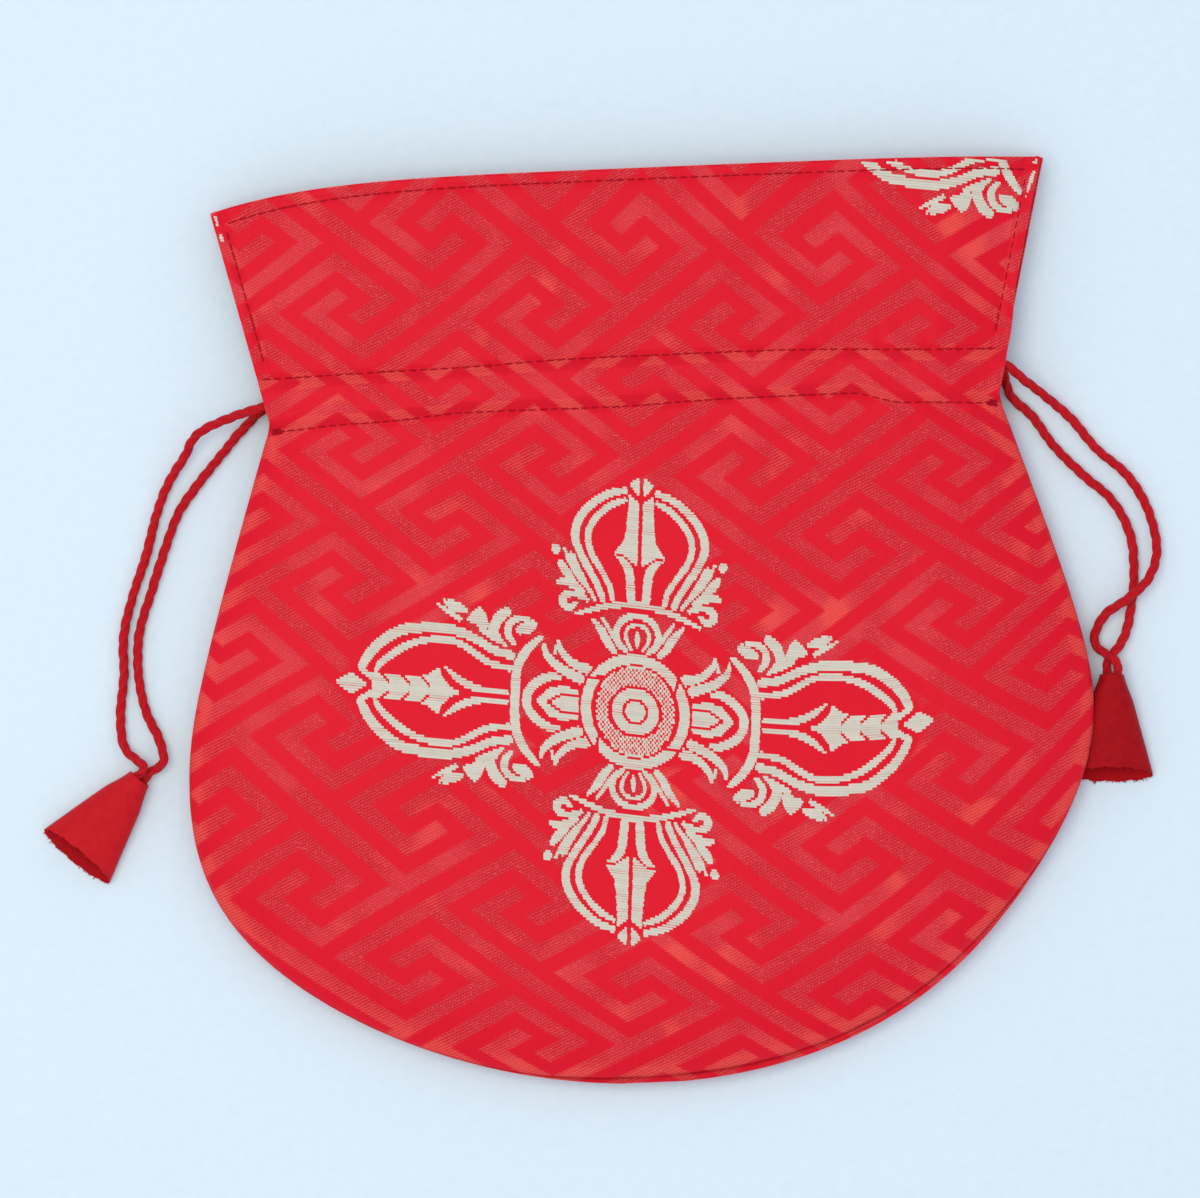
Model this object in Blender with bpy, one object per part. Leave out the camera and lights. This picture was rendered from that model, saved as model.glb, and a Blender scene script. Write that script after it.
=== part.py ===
"""A kinchaku, a small drawstring pouch of woven brocade, lying flat on its back.

A front and a back panel, each of brocade outside and lining inside, are sewn
together round the body. Two rows of stitching across each panel make a casing
for the drawstrings, and above it the panels go on as two loose flaps that form
the mouth. Each drawstring is one loop: it runs through the front casing, turns
round the far end, comes back through the back casing, and its two ends are
knotted inside a small cone of cloth.

X runs across the pouch, Y from the round bottom to the mouth, Z up.
The sizes below are in millimetres and the model is in metres.
"""

import math

import bmesh
import bpy
import numpy as np
from mathutils import Vector
from mathutils.geometry import tessellate_polygon

MM = 0.001

# Outline of the panels
BODY_WIDTH = 181.0
BODY_DROP = 68.8
BODY_RISE = 66.3
NECK_WIDTH = 145.6
MOUTH_WIDTH = 168.6
FLAP_HEIGHT = 37.9
SIDE_SOFTNESS = 0.25
LEFT_CORNER_DROOP = 5.4
RIGHT_CORNER_DROOP = 1.2
BACK_FLAP_EXTRA = 0.5

# The hand-cut body leans to the left below its widest line
AXIS_OFFSET = 1.2
LOW_LEAN = 5.8
LOW_LEAN_Y = -37.0
LOW_LEAN_SPREAD = 30.0

# Cloth, thread and cord
BROCADE = 0.5
LINING = 0.3
GAP = 0.3
CORD_DIAMETER = 2.0
THREAD_DIAMETER = 0.35

# Heights when the pouch lies on its back
BODY_GAP = 7.6
NECK_GAP = 4.6
MOUTH_GAP = 6.8
SEAM_HEIGHT = 4.3
FRONT_CROWN_REACH = 28.0
BACK_LIFT_REACH = 22.0
BACK_LIFT_CURVE = 1.6
SEAM_OPENING = 4.0
SEAM_TURN = 1.4

# Casing for the drawstrings
CASING_WIDTH = 9.9
CASING_RAMP = 2.4
ROW_DIP = 1.2
ROW_LIFT = 1.0
ROW_LIFT_REACH = 7.0
NECK_SIDE_DROP = 1.8
NECK_SIDE_REACH = 16.0
LINING_MOUTH_INSET = 7.0
CORD_SPACING = 2.6

# Stitching
TOPSTITCH_INSET = 2.2
SEAM_THREAD_INSET = 2.4

# Cones of cloth on the ends of the drawstrings
CONE_LENGTH = 21.6
CONE_RIM_WIDTH = 17.0
CONE_RIM_HEIGHT = 4.5
CONE_RIM_FOOT = 1.0
CONE_LIP_SLANT = 2.0
CONE_WALL = 0.45
CONE_CLEARANCE = 0.1
KNOT_AT = 8.6
KNOT_LENGTH = 6.0
KNOT_WIDTH = 6.0
KNOT_HEIGHT = 3.9
CORD_END_AT = 4.4
CORD_LEAD_IN = 2.4

# Woven ornament on the front: a crossed double vajra
ORNAMENT_CENTRE = (-1.5, -17.3)
ORNAMENT_ARM_ACROSS = 59.0
ORNAMENT_ARM_ALONG = 46.8
ORNAMENT_TILT_ACROSS = -6.0
ORNAMENT_TILT_ALONG = -3.4
ORNAMENT_THICKNESS = 0.3

# Mesh density
LOWER_ROWS = 11
SIDE_ROWS = 4
FLAP_ROWS = 3
COLUMNS = 17
FIRST_ROW_ANGLE = math.radians(4.0)
CORD_SIDES = 2
CONE_SIDES = 20
CONE_RINGS = 6

# Values that follow from the sizes above
STACK = BROCADE + GAP + LINING
CHANNEL = CORD_DIAMETER + 2 * GAP
CASING_DEPTH = BROCADE + CHANNEL + LINING
CASING_TOP = 2 * CASING_DEPTH + NECK_GAP
BODY_TOP = 2 * STACK + BODY_GAP
MOUTH_TOP = 2 * STACK + MOUTH_GAP
SEAM_TOP = SEAM_HEIGHT + BROCADE + GAP
LOWER_ROW_Y = BODY_RISE
UPPER_ROW_Y = LOWER_ROW_Y + CASING_WIDTH
MOUTH_Y = UPPER_ROW_Y + FLAP_HEIGHT
CHANNEL_Y = (LOWER_ROW_Y + UPPER_ROW_Y) / 2
BOTTOM_Y = -BODY_DROP * math.cos(FIRST_ROW_ANGLE)
Y_SHIFT = -(MOUTH_Y + BACK_FLAP_EXTRA + BOTTOM_Y) / 2

# Routes of the loose strands, from the casing's mouth to the cone: x, y and z
LEFT_FRONT_STRAND = [
    (-85.3, 42.6, 5.0), (-89.4, 37.4, 2.6), (-93.1, 31.8, 1.5), (-95.7, 25.7, 1.1),
    (-97.9, 18.2, 1.1), (-100.9, 10.3, 1.1), (-103.1, 2.2, 1.1), (-103.4, -5.8, 1.1),
    (-104.4, -13.3, 1.1), (-103.9, -20.3, 1.6),
]
LEFT_BACK_STRAND = [
    (-77.4, 42.6, 1.3), (-81.9, 37.7, 1.1), (-86.9, 31.9, 1.1), (-91.1, 26.3, 1.1),
    (-94.1, 19.2, 1.1), (-97.1, 10.9, 1.1), (-99.9, 2.7, 1.1), (-100.5, -5.8, 1.1),
    (-99.3, -13.3, 1.1), (-96.9, -18.9, 1.6), (-96.1, -23.5, 2.8),
]
RIGHT_FRONT_STRAND = [
    (79.9, 45.6, 5.4), (84.9, 41.6, 2.6), (89.5, 37.3, 1.3), (94.1, 31.3, 1.1),
    (99.9, 25.9, 1.1), (103.7, 18.9, 1.1), (105.2, 10.9, 1.5), (103.1, 4.9, 3.0),
    (98.5, 1.0, 3.5), (93.9, -2.2, 2.0), (91.9, -7.5, 1.4),
]
RIGHT_BACK_STRAND = [
    (77.1, 42.9, 1.4), (81.3, 38.6, 1.1), (85.5, 32.3, 1.1), (91.1, 26.3, 1.1),
    (96.5, 21.1, 1.1), (99.9, 14.3, 1.1), (100.5, 7.3, 1.0), (99.7, 0.1, 1.0),
    (97.9, -6.5, 1.6),
]
LEFT_CONE_AT = (-101.0, -26.7)
LEFT_CONE_TO = (-115.3, -42.8)
RIGHT_CONE_AT = (95.0, -13.9)
RIGHT_CONE_TO = (94.0, -35.5)


def smooth(t):
    """A soft step from 0 to 1."""
    t = np.clip(t, 0.0, 1.0)
    return t * t * (3.0 - 2.0 * t)


def mix(a, b, t):
    return a + (b - a) * t


def half_width(y, inset=0.0):
    """Half the panel's width at y, measured from its widest line."""
    drop = BODY_DROP - inset
    low = (BODY_WIDTH / 2 - inset) * np.sqrt(np.clip(1.0 - (y / drop) ** 2, 0.0, 1.0))
    t = np.clip(y / BODY_RISE, 0.0, 1.0)
    bend = np.hypot(t, SIDE_SOFTNESS) - SIDE_SOFTNESS
    bend = bend / (math.hypot(1.0, SIDE_SOFTNESS) - SIDE_SOFTNESS)
    side = BODY_WIDTH / 2 - (BODY_WIDTH - NECK_WIDTH) / 2 * bend - inset
    rise = (y - BODY_RISE) / (MOUTH_Y - BODY_RISE)
    flare = mix(NECK_WIDTH / 2, MOUTH_WIDTH / 2, rise) - inset
    return np.where(y < 0.0, low, np.where(y < BODY_RISE, side, flare))


def lean(y):
    """X of the panel's middle line before it is centred."""
    return AXIS_OFFSET - LOW_LEAN * np.exp(-((y - LOW_LEAN_Y) / LOW_LEAN_SPREAD) ** 2)


def outline(samples=400):
    """Points down the left side, round the bottom and up the right side."""
    angle = np.linspace(0.0, math.pi / 2, samples)
    low = -BODY_DROP * np.cos(angle)
    high = np.linspace(0.0, MOUTH_Y, samples)[1:]
    y = np.concatenate([low, high])
    left = np.stack([lean(y) - half_width(y), y], axis=1)
    right = np.stack([lean(y) + half_width(y), y], axis=1)
    return np.concatenate([left[::-1], right[1:]])


OUTLINE = outline()
X_SHIFT = -(OUTLINE[:, 0].min() + OUTLINE[:, 0].max()) / 2


def from_edge(x, y):
    """Distance of each point from the side and bottom edges, and the way out to them."""
    along = np.gradient(OUTLINE, axis=0)
    along /= np.linalg.norm(along, axis=1, keepdims=True)
    normal = np.stack([along[:, 1], -along[:, 0]], axis=1)
    points = np.stack([x.ravel(), y.ravel()], axis=1)
    away = OUTLINE[None, :, :] - points[:, None, :]
    nearest = np.argmin((away ** 2).sum(axis=2), axis=1)
    toward = away[np.arange(len(points)), nearest]
    distance = np.linalg.norm(toward, axis=1)
    close = distance < GAP
    out = np.where(close[:, None], normal[nearest], toward / np.maximum(distance, GAP)[:, None])
    return distance.reshape(x.shape), out.reshape(x.shape + (2,))


def in_channel(y):
    """1 along the drawstring channel, 0 at its stitch rows and beyond."""
    return smooth((y - LOWER_ROW_Y) / CASING_RAMP) * smooth((UPPER_ROW_Y - y) / CASING_RAMP)


def seamed(y):
    """1 where the panels are sewn together, 0 from the casing upward."""
    return smooth((LOWER_ROW_Y - y) / SEAM_OPENING)


def front_surface(x, y):
    """Height of the front panel's outer face and the slope of its rounded edge."""
    row_top = CASING_TOP - ROW_DIP
    body_end = LOWER_ROW_Y - 2 * ROW_LIFT_REACH
    top = mix(BODY_TOP, row_top, smooth((y - body_end) / (LOWER_ROW_Y - body_end)))
    top = mix(top, MOUTH_TOP, np.clip((y - UPPER_ROW_Y) / FLAP_HEIGHT, 0.0, 1.0))
    top = top + ROW_DIP * in_channel(y)
    distance, out = from_edge(x, y)
    sewn = seamed(y)
    t = np.clip(distance / FRONT_CROWN_REACH, 1e-4, 1.0)
    round_edge = np.sqrt(1.0 - (1.0 - t) ** 2)
    sewn_height = mix(SEAM_TOP, top, round_edge)
    loose_height = top - NECK_SIDE_DROP * (1.0 - smooth(distance / NECK_SIDE_REACH))
    slope = sewn * (BODY_TOP - SEAM_TOP) / FRONT_CROWN_REACH * (1.0 - t) / round_edge
    slope = np.where(distance < GAP / 10, slope * 100, slope)
    return mix(loose_height, sewn_height, sewn), slope, out


def back_surface(x, y):
    """Height of the back panel's outer face, which lies on the floor."""
    row_lift = smooth((y - LOWER_ROW_Y + ROW_LIFT_REACH) / ROW_LIFT_REACH)
    row_lift = row_lift * (1.0 - smooth((y - UPPER_ROW_Y) / ROW_LIFT_REACH))
    row_lift = ROW_LIFT * row_lift * (1.0 - in_channel(y))
    distance, _ = from_edge(x, y)
    t = np.clip(distance / BACK_LIFT_REACH, 0.0, 1.0)
    seam_lift = SEAM_HEIGHT * seamed(y) * (1.0 - t) ** BACK_LIFT_CURVE
    return np.maximum(row_lift, seam_lift)


def row_levels():
    """Y of each row of the panels' mesh up to the upper stitch row."""
    angle = np.linspace(FIRST_ROW_ANGLE, math.pi / 2, LOWER_ROWS)
    low = list(-BODY_DROP * np.cos(angle))
    side = list(np.linspace(0.0, LOWER_ROW_Y - SEAM_OPENING, SIDE_ROWS + 1)[1:])
    pinch = [LOWER_ROW_Y - SEAM_OPENING / 2, LOWER_ROW_Y]
    ramp = [CASING_RAMP / 2, CASING_RAMP]
    casing = [LOWER_ROW_Y + r for r in ramp] + [UPPER_ROW_Y - r for r in reversed(ramp)]
    return low + side + pinch + casing + [UPPER_ROW_Y]


def panel_grid(inset=0.0, casing_inset=0.0, extra_height=0.0):
    """X and Y of a panel's mesh points, row by row from the bottom to the mouth."""
    across = np.sin(np.linspace(-math.pi / 2, math.pi / 2, COLUMNS))
    droop = LEFT_CORNER_DROOP * np.clip(-across, 0, 1) ** 4
    droop = droop + RIGHT_CORNER_DROOP * np.clip(across, 0, 1) ** 4
    top = MOUTH_Y + extra_height - droop
    levels = np.array(row_levels())
    y = np.repeat(levels[:, None], COLUMNS, axis=1)
    share = np.arange(1, FLAP_ROWS + 1)[:, None] / FLAP_ROWS
    y = np.concatenate([y, mix(UPPER_ROW_Y, top[None, :], share)])
    y = np.maximum(y, BOTTOM_Y + inset)
    trim = inset + casing_inset * in_channel(y)
    x = lean(y) + across[None, :] * half_width(y, trim)
    return x, y


def placed(x, y, z):
    """Points in metres with the origin under the middle of the pouch."""
    return np.stack([x + X_SHIFT, y + Y_SHIFT, z], axis=-1) * MM


def front_layer(depth, casing_extra=0.0, casing_inset=0.0):
    """One face of a front layer, this deep under the front panel's outer face."""
    x, y = panel_grid(casing_inset=casing_inset)
    z, slope, out = front_surface(x, y)
    depth = depth + casing_extra * in_channel(y)
    length = np.hypot(slope, 1.0)
    x_in = x - depth * slope / length * out[..., 0]
    y_in = y - depth * slope / length * out[..., 1]
    return placed(x_in, y_in, z - depth / length)


def back_layer(depth, casing_extra=0.0, casing_inset=0.0, inset=0.0):
    """One face of a back layer, this high above the back panel's outer face."""
    x, y = panel_grid(inset, casing_inset, BACK_FLAP_EXTRA)
    z = back_surface(x, y) + depth + casing_extra * in_channel(y)
    return placed(x, y, z)


def material(name, colour, roughness, sheen=0.0):
    """A plain cloth or thread finish."""
    made = bpy.data.materials.new(name)
    made.use_nodes = True
    shader = made.node_tree.nodes["Principled BSDF"]
    shader.inputs["Base Color"].default_value = (*colour, 1.0)
    shader.inputs["Roughness"].default_value = roughness
    shader.inputs["Metallic"].default_value = 0.0
    shader.inputs["Sheen Weight"].default_value = sheen
    made.diffuse_color = (*colour, 1.0)
    return made


def add_object(name, data, finish):
    piece = bpy.data.objects.new(name, data)
    data.materials.append(finish)
    bpy.context.scene.collection.objects.link(piece)
    return piece


def mesh_object(name, bm, finish, flat_below=40.0):
    """Turn a closed bmesh into an object, shaded smooth but for its sharp edges."""
    bmesh.ops.recalc_face_normals(bm, faces=bm.faces[:])
    if bm.calc_volume(signed=True) < 0.0:
        bmesh.ops.reverse_faces(bm, faces=bm.faces[:])
    mesh = bpy.data.meshes.new(name)
    bm.to_mesh(mesh)
    bm.free()
    mesh.shade_smooth()
    mesh.set_sharp_from_angle(angle=math.radians(flat_below))
    return add_object(name, mesh, finish)


def closed_sheet(name, one_face, other_face, finish):
    """A sheet of cloth between two faces that are grids of the same size."""
    rows, columns, _ = one_face.shape
    bm = bmesh.new()
    near = [[bm.verts.new(p) for p in row] for row in one_face]
    far = [[bm.verts.new(p) for p in row] for row in other_face]
    for r in range(rows - 1):
        for c in range(columns - 1):
            bm.faces.new((near[r][c], near[r][c + 1], near[r + 1][c + 1], near[r + 1][c]))
            bm.faces.new((far[r][c], far[r + 1][c], far[r + 1][c + 1], far[r][c + 1]))
    border = [(0, c) for c in range(columns)]
    border += [(r, columns - 1) for r in range(1, rows)]
    border += [(rows - 1, c) for c in range(columns - 2, -1, -1)]
    border += [(r, 0) for r in range(rows - 2, 0, -1)]
    for (r, c), (r2, c2) in zip(border, border[1:] + border[:1]):
        bm.faces.new((near[r][c], far[r][c], far[r2][c2], near[r2][c2]))
    return mesh_object(name, bm, finish)


def tube(name, points, diameter, sides, finish):
    """A round cord or thread through points given in metres."""
    curve = bpy.data.curves.new(name, "CURVE")
    curve.dimensions = "3D"
    curve.bevel_depth = diameter / 2 * MM
    curve.bevel_resolution = sides
    curve.use_fill_caps = True
    spline = curve.splines.new("POLY")
    spline.points.add(len(points) - 1)
    for point, place in zip(spline.points, points):
        point.co = (*place, 1.0)
    return add_object(name, curve, finish)


def smooth_curve(knots, steps):
    """Points of a smooth curve through the knots, which it passes at even times."""
    knots = [Vector(k) for k in knots]
    ends = [2 * knots[0] - knots[1]] + knots + [2 * knots[-1] - knots[-2]]
    points = []
    for i in range(1, len(ends) - 2):
        a, b, c, d = ends[i - 1:i + 3]
        for k in range(steps):
            t = k / steps
            points.append(0.5 * (2 * b + (c - a) * t + (2 * a - 5 * b + 4 * c - d) * t * t
                                 + (3 * b - a - 3 * c + d) * t ** 3))
    points.append(ends[-2])
    return points


def front_height(x, y):
    """Height of the front panel's outer face at one point, in millimetres."""
    z, _, _ = front_surface(np.array([[x]]), np.array([[y]]))
    return float(z[0, 0])


def casing_run(mouth_x, turn_x, y):
    """A drawstring's way through the front casing, round its end and back behind."""
    deep = BROCADE + GAP + CORD_DIAMETER / 2
    count = 16
    stretch = np.linspace(mouth_x, turn_x, count)
    front = [(x, y, front_height(x, y) - deep) for x in stretch]
    back = [(x, y, deep) for x in stretch[::-1]]
    way = math.copysign(1.0, turn_x - mouth_x)
    high = front[-1][2]
    radius = (high - deep) / 2
    turn = []
    for angle in (36.0, 72.0, 108.0, 144.0):
        a = math.radians(angle)
        turn.append((turn_x + way * radius * math.sin(a), y, deep + radius * (1 + math.cos(a))))
    return front + turn + back


def cone_axes(at, to):
    """The cone's neck, the way it points and the way across it, on the floor."""
    at = Vector((*at, 0.0))
    along = (Vector((*to, 0.0)) - at).normalized()
    return at, along, along.cross(Vector((0.0, 0.0, 1.0)))


def neck_radius():
    """Inner radius of the neck that holds two strands of cord side by side."""
    return CORD_DIAMETER + 1.3 * GAP


def strand_ends(at, to, front_side):
    """Each strand's last points, from just outside the cone's neck to its end inside."""
    at, along, across = cone_axes(at, to)
    outer = neck_radius() + CONE_WALL
    middle = at + Vector((0.0, 0.0, outer + CONE_CLEARANCE))
    apart = (CORD_DIAMETER / 2 + GAP / 2) / math.sqrt(2.0)
    shift = across * apart * front_side + Vector((0.0, 0.0, apart))
    ends = []
    for sign in (1.0, -1.0):
        ends.append([middle + sign * shift + along * s for s in (-CORD_LEAD_IN, 0.6, CORD_END_AT)])
    return ends


def drawstring(name, side, front_strand, back_strand, at, to, finish):
    """A loop of cord with both of its ends in one cone."""
    neck_x = NECK_WIDTH / 2
    middle_x = float(lean(CHANNEL_Y))
    y = CHANNEL_Y + side * CORD_SPACING / 2
    mouth_x = middle_x + side * (neck_x + GAP)
    turn_x = middle_x - side * (neck_x - LINING_MOUTH_INSET + 2 * GAP)
    hidden = [(x + X_SHIFT, py + Y_SHIFT, z) for x, py, z in casing_run(mouth_x, turn_x, y)]
    front_end, back_end = strand_ends(at, to, -side)
    start = list(reversed(front_end)) + list(reversed(front_strand))
    finish_part = list(back_strand) + list(back_end)
    first = smooth_curve([Vector(p) for p in start] + [Vector(hidden[0])], 2)
    last = smooth_curve([Vector(hidden[-1])] + [Vector(p) for p in finish_part], 2)
    points = first[:-1] + [Vector(p) for p in hidden] + last[1:]
    return tube(name, [p * MM for p in points], CORD_DIAMETER, CORD_SIDES, finish)


def cone_section(s, shrink):
    """Half width, foot height and lowest and highest point of the cone at share s."""
    neck = neck_radius() + CONE_WALL
    half = mix(neck, CONE_RIM_WIDTH / 2, s) - shrink
    top = mix(2 * neck, CONE_RIM_HEIGHT, s) + CONE_CLEARANCE - shrink
    foot = mix(neck, CONE_RIM_FOOT, s) + CONE_CLEARANCE
    return half, foot, CONE_CLEARANCE + shrink, top


def cone(name, at, to, finish):
    """A hollow cone of cloth, round at its neck and pressed flat at its open rim."""
    at, along, across = cone_axes(at, to)
    bm = bmesh.new()
    faces = []
    for shrink in (0.0, CONE_WALL):
        rings = []
        for r in range(CONE_RINGS):
            s = r / (CONE_RINGS - 1)
            half, foot, low, high = cone_section(s, shrink)
            ring = []
            for k in range(CONE_SIDES):
                angle = 2 * math.pi * k / CONE_SIDES
                reach = (high if math.sin(angle) > 0 else 2 * foot - low) - foot
                z = foot + reach * math.sin(angle)
                slant = CONE_LIP_SLANT * s * max(0.0, math.sin(angle))
                place = at + along * (CONE_LENGTH * s - slant) + across * half * math.cos(angle)
                ring.append(bm.verts.new((place + Vector((0.0, 0.0, z))) * MM))
            rings.append(ring)
        faces.append(rings)
    outer, inner = faces
    for k in range(CONE_SIDES):
        n = (k + 1) % CONE_SIDES
        for r in range(CONE_RINGS - 1):
            bm.faces.new((outer[r][k], outer[r][n], outer[r + 1][n], outer[r + 1][k]))
            bm.faces.new((inner[r][n], inner[r][k], inner[r + 1][k], inner[r + 1][n]))
        bm.faces.new((outer[0][n], outer[0][k], inner[0][k], inner[0][n]))
        bm.faces.new((outer[-1][k], outer[-1][n], inner[-1][n], inner[-1][k]))
    return mesh_object(name, bm, finish)


def end_knot(name, at, to, finish):
    """The knot that ties the drawstring's two ends together inside the cone."""
    at, along, across = cone_axes(at, to)
    bm = bmesh.new()
    bmesh.ops.create_uvsphere(bm, u_segments=12, v_segments=8, radius=0.5)
    _, _, low, high = cone_section(KNOT_AT / CONE_LENGTH, CONE_WALL)
    middle = at + along * KNOT_AT + Vector((0.0, 0.0, (low + high) / 2))
    for vert in bm.verts:
        x, y, z = vert.co
        place = middle + along * x * KNOT_LENGTH + across * y * KNOT_WIDTH
        vert.co = (place + Vector((0.0, 0.0, z * KNOT_HEIGHT))) * MM
    return mesh_object(name, bm, finish)


def row_thread(name, y, on_front, finish):
    """A row of casing stitching across one panel."""
    across = np.sin(np.linspace(-math.pi / 2, math.pi / 2, COLUMNS))[1:-1]
    level = np.full((1, len(across)), y)
    x = lean(level) + across[None, :] * half_width(level)
    lift = GAP + THREAD_DIAMETER / 2
    if on_front:
        z = front_surface(x, level)[0] + lift
    else:
        z = back_surface(x, level) - lift
    return tube(name, list(placed(x, level, z)[0]), THREAD_DIAMETER, 0, finish)


def flap_topstitch(name, on_front, finish):
    """The stitching that runs up one side of a flap, along its top and down the other."""
    extra = 0.0 if on_front else BACK_FLAP_EXTRA
    low_y = UPPER_ROW_Y + TOPSTITCH_INSET
    corner_y = MOUTH_Y + extra - TOPSTITCH_INSET
    rise = np.linspace(0.0, 1.0, 5)
    left_y = mix(low_y, corner_y - LEFT_CORNER_DROOP, rise)
    right_y = mix(low_y, corner_y - RIGHT_CORNER_DROOP, rise)
    left_x = lean(left_y) - half_width(left_y, TOPSTITCH_INSET)
    right_x = lean(right_y) + half_width(right_y, TOPSTITCH_INSET)
    across = np.sin(np.linspace(-math.pi / 2, math.pi / 2, COLUMNS))[1:-1]
    top_y = corner_y - LEFT_CORNER_DROOP * np.clip(-across, 0, 1) ** 4
    top_y = top_y - RIGHT_CORNER_DROOP * np.clip(across, 0, 1) ** 4
    top_x = lean(top_y) + across * half_width(top_y, TOPSTITCH_INSET)
    x = np.concatenate([left_x, top_x, right_x[::-1]])[None, :]
    y = np.concatenate([left_y, top_y, right_y[::-1]])[None, :]
    lift = GAP + THREAD_DIAMETER / 2
    if on_front:
        z = front_surface(x, y)[0] + lift
    else:
        z = back_surface(x, y) + STACK + lift
    return tube(name, list(placed(x, y, z)[0]), THREAD_DIAMETER, 0, finish)


def seam_thread(name, finish):
    """The seam's thread, which runs round the body inside, on the turned-in edges."""
    angle = np.linspace(math.radians(8.0), math.pi / 2, 14)
    low = -(BODY_DROP - SEAM_THREAD_INSET) * np.cos(angle)
    high = np.linspace(0.0, LOWER_ROW_Y - 2 * SEAM_OPENING, 6)[1:]
    y = np.concatenate([low, high])
    left = lean(y) - half_width(y, SEAM_THREAD_INSET)
    right = lean(y) + half_width(y, SEAM_THREAD_INSET)
    x = np.concatenate([left[::-1], right])[None, :]
    y = np.concatenate([y[::-1], y])[None, :]
    z = back_surface(x, y) + STACK + GAP + THREAD_DIAMETER / 2
    return tube(name, list(placed(x, y, z)[0]), THREAD_DIAMETER, 0, finish)


# One arm of the ornament as distance out and distance aside, from the hub to the tip
HUB_RADIUS = 11.1
ARM_THROAT = [(14.0, 5.0), (17.4, 7.4), (19.8, 11.6)]
ARM_CURL = [(22.4, 11.0), (23.4, 15.0), (27.4, 14.2), (32.2, 17.4), (31.8, 13.4)]
ARM_PRONG = [(36.4, 11.0), (41.4, 5.6), (43.4, 1.8), (46.8, 0.0)]
ARM_WINDOW = [
    (23.8, 2.0), (29.6, 2.6), (31.6, 4.6), (33.0, 2.0),
    (40.6, 1.6), (37.4, 6.4), (32.4, 9.8), (27.0, 9.6), (23.6, 6.0),
]


def ornament_point(arm, out, aside):
    """A point of one arm, stretched to the arm's length and turned with the weave."""
    upright = arm % 2 == 0
    length = ORNAMENT_ARM_ALONG if upright else ORNAMENT_ARM_ACROSS
    reach = ARM_PRONG[-1][0]
    past_hub = (out - HUB_RADIUS) / (reach - HUB_RADIUS)
    if past_hub > 0:
        out = HUB_RADIUS + past_hub * (length - HUB_RADIUS)
    turn = math.radians(90.0 * arm)
    x = -out * math.sin(turn) - aside * math.cos(turn)
    y = out * math.cos(turn) - aside * math.sin(turn)
    a = math.radians(ORNAMENT_TILT_ACROSS)
    b = math.radians(ORNAMENT_TILT_ALONG)
    cx, cy = ORNAMENT_CENTRE
    return (cx + x * math.cos(a) - y * math.sin(b), cy + x * math.sin(a) + y * math.cos(b))


def closed_curve(knots, steps):
    """Points of a smooth closed curve through the knots."""
    count = len(knots)
    points = []
    for i in range(count):
        a, b, c, d = (Vector(knots[(i + k) % count]) for k in (-1, 0, 1, 2))
        for k in range(steps):
            t = k / steps
            points.append(0.5 * (2 * b + (c - a) * t + (2 * a - 5 * b + 4 * c - d) * t * t
                                 + (3 * b - a - 3 * c + d) * t ** 3))
    return points


def woven_ornament(name, finish):
    """The raised ornament: a hub with four pronged arms, two windows in each."""
    side = ARM_THROAT + ARM_CURL + ARM_PRONG
    border = []
    windows = []
    for arm in range(4):
        diagonal = HUB_RADIUS / math.sqrt(2.0)
        border.append(ornament_point(arm, diagonal, -diagonal))
        border += [ornament_point(arm, out, -aside) for out, aside in side]
        border += [ornament_point(arm, out, aside) for out, aside in reversed(side[:-1])]
        for sign in (1.0, -1.0):
            window = [ornament_point(arm, out, sign * aside) for out, aside in ARM_WINDOW]
            windows.append([Vector(p) for p in window])
    loops = [closed_curve(border, 2)] + windows
    flat = [[Vector((p[0], p[1], 0.0)) for p in loop] for loop in loops]
    triangles = tessellate_polygon(flat)
    bottom_z = BODY_TOP + GAP
    bm = bmesh.new()
    places = [p for loop in flat for p in loop]
    low = [bm.verts.new((p.x * MM, p.y * MM, bottom_z * MM)) for p in places]
    high_z = (bottom_z + ORNAMENT_THICKNESS) * MM
    high = [bm.verts.new((p.x * MM, p.y * MM, high_z)) for p in places]
    for a, b, c in triangles:
        bm.faces.new((high[a], high[b], high[c]))
        bm.faces.new((low[c], low[b], low[a]))
    start = 0
    for loop in flat:
        count = len(loop)
        for k in range(count):
            i = start + k
            j = start + (k + 1) % count
            bm.faces.new((low[i], low[j], high[j], high[i]))
        start += count
    return mesh_object(name, bm, finish)


def clear_scene():
    for piece in list(bpy.data.objects):
        bpy.data.objects.remove(piece, do_unlink=True)


def build_panels(brocade, lining):
    """Front and back panels, each with its lining."""
    to_lining = BROCADE + GAP
    casing_extra = CORD_DIAMETER + GAP
    closed_sheet("front_panel", front_layer(0.0), front_layer(BROCADE), brocade)
    closed_sheet(
        "front_lining",
        front_layer(to_lining, casing_extra, LINING_MOUTH_INSET),
        front_layer(STACK, casing_extra, LINING_MOUTH_INSET),
        lining,
    )
    closed_sheet("back_panel", back_layer(BROCADE), back_layer(0.0), brocade)
    closed_sheet(
        "back_lining",
        back_layer(STACK, casing_extra, LINING_MOUTH_INSET, SEAM_TURN),
        back_layer(to_lining, casing_extra, LINING_MOUTH_INSET, SEAM_TURN),
        lining,
    )


def build_stitching(thread):
    row_thread("front_lower_casing_stitching", LOWER_ROW_Y, True, thread)
    row_thread("front_upper_casing_stitching", UPPER_ROW_Y, True, thread)
    row_thread("back_lower_casing_stitching", LOWER_ROW_Y, False, thread)
    row_thread("back_upper_casing_stitching", UPPER_ROW_Y, False, thread)
    flap_topstitch("front_flap_topstitching", True, thread)
    flap_topstitch("back_flap_topstitching", False, thread)
    seam_thread("body_seam_thread", thread)


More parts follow.
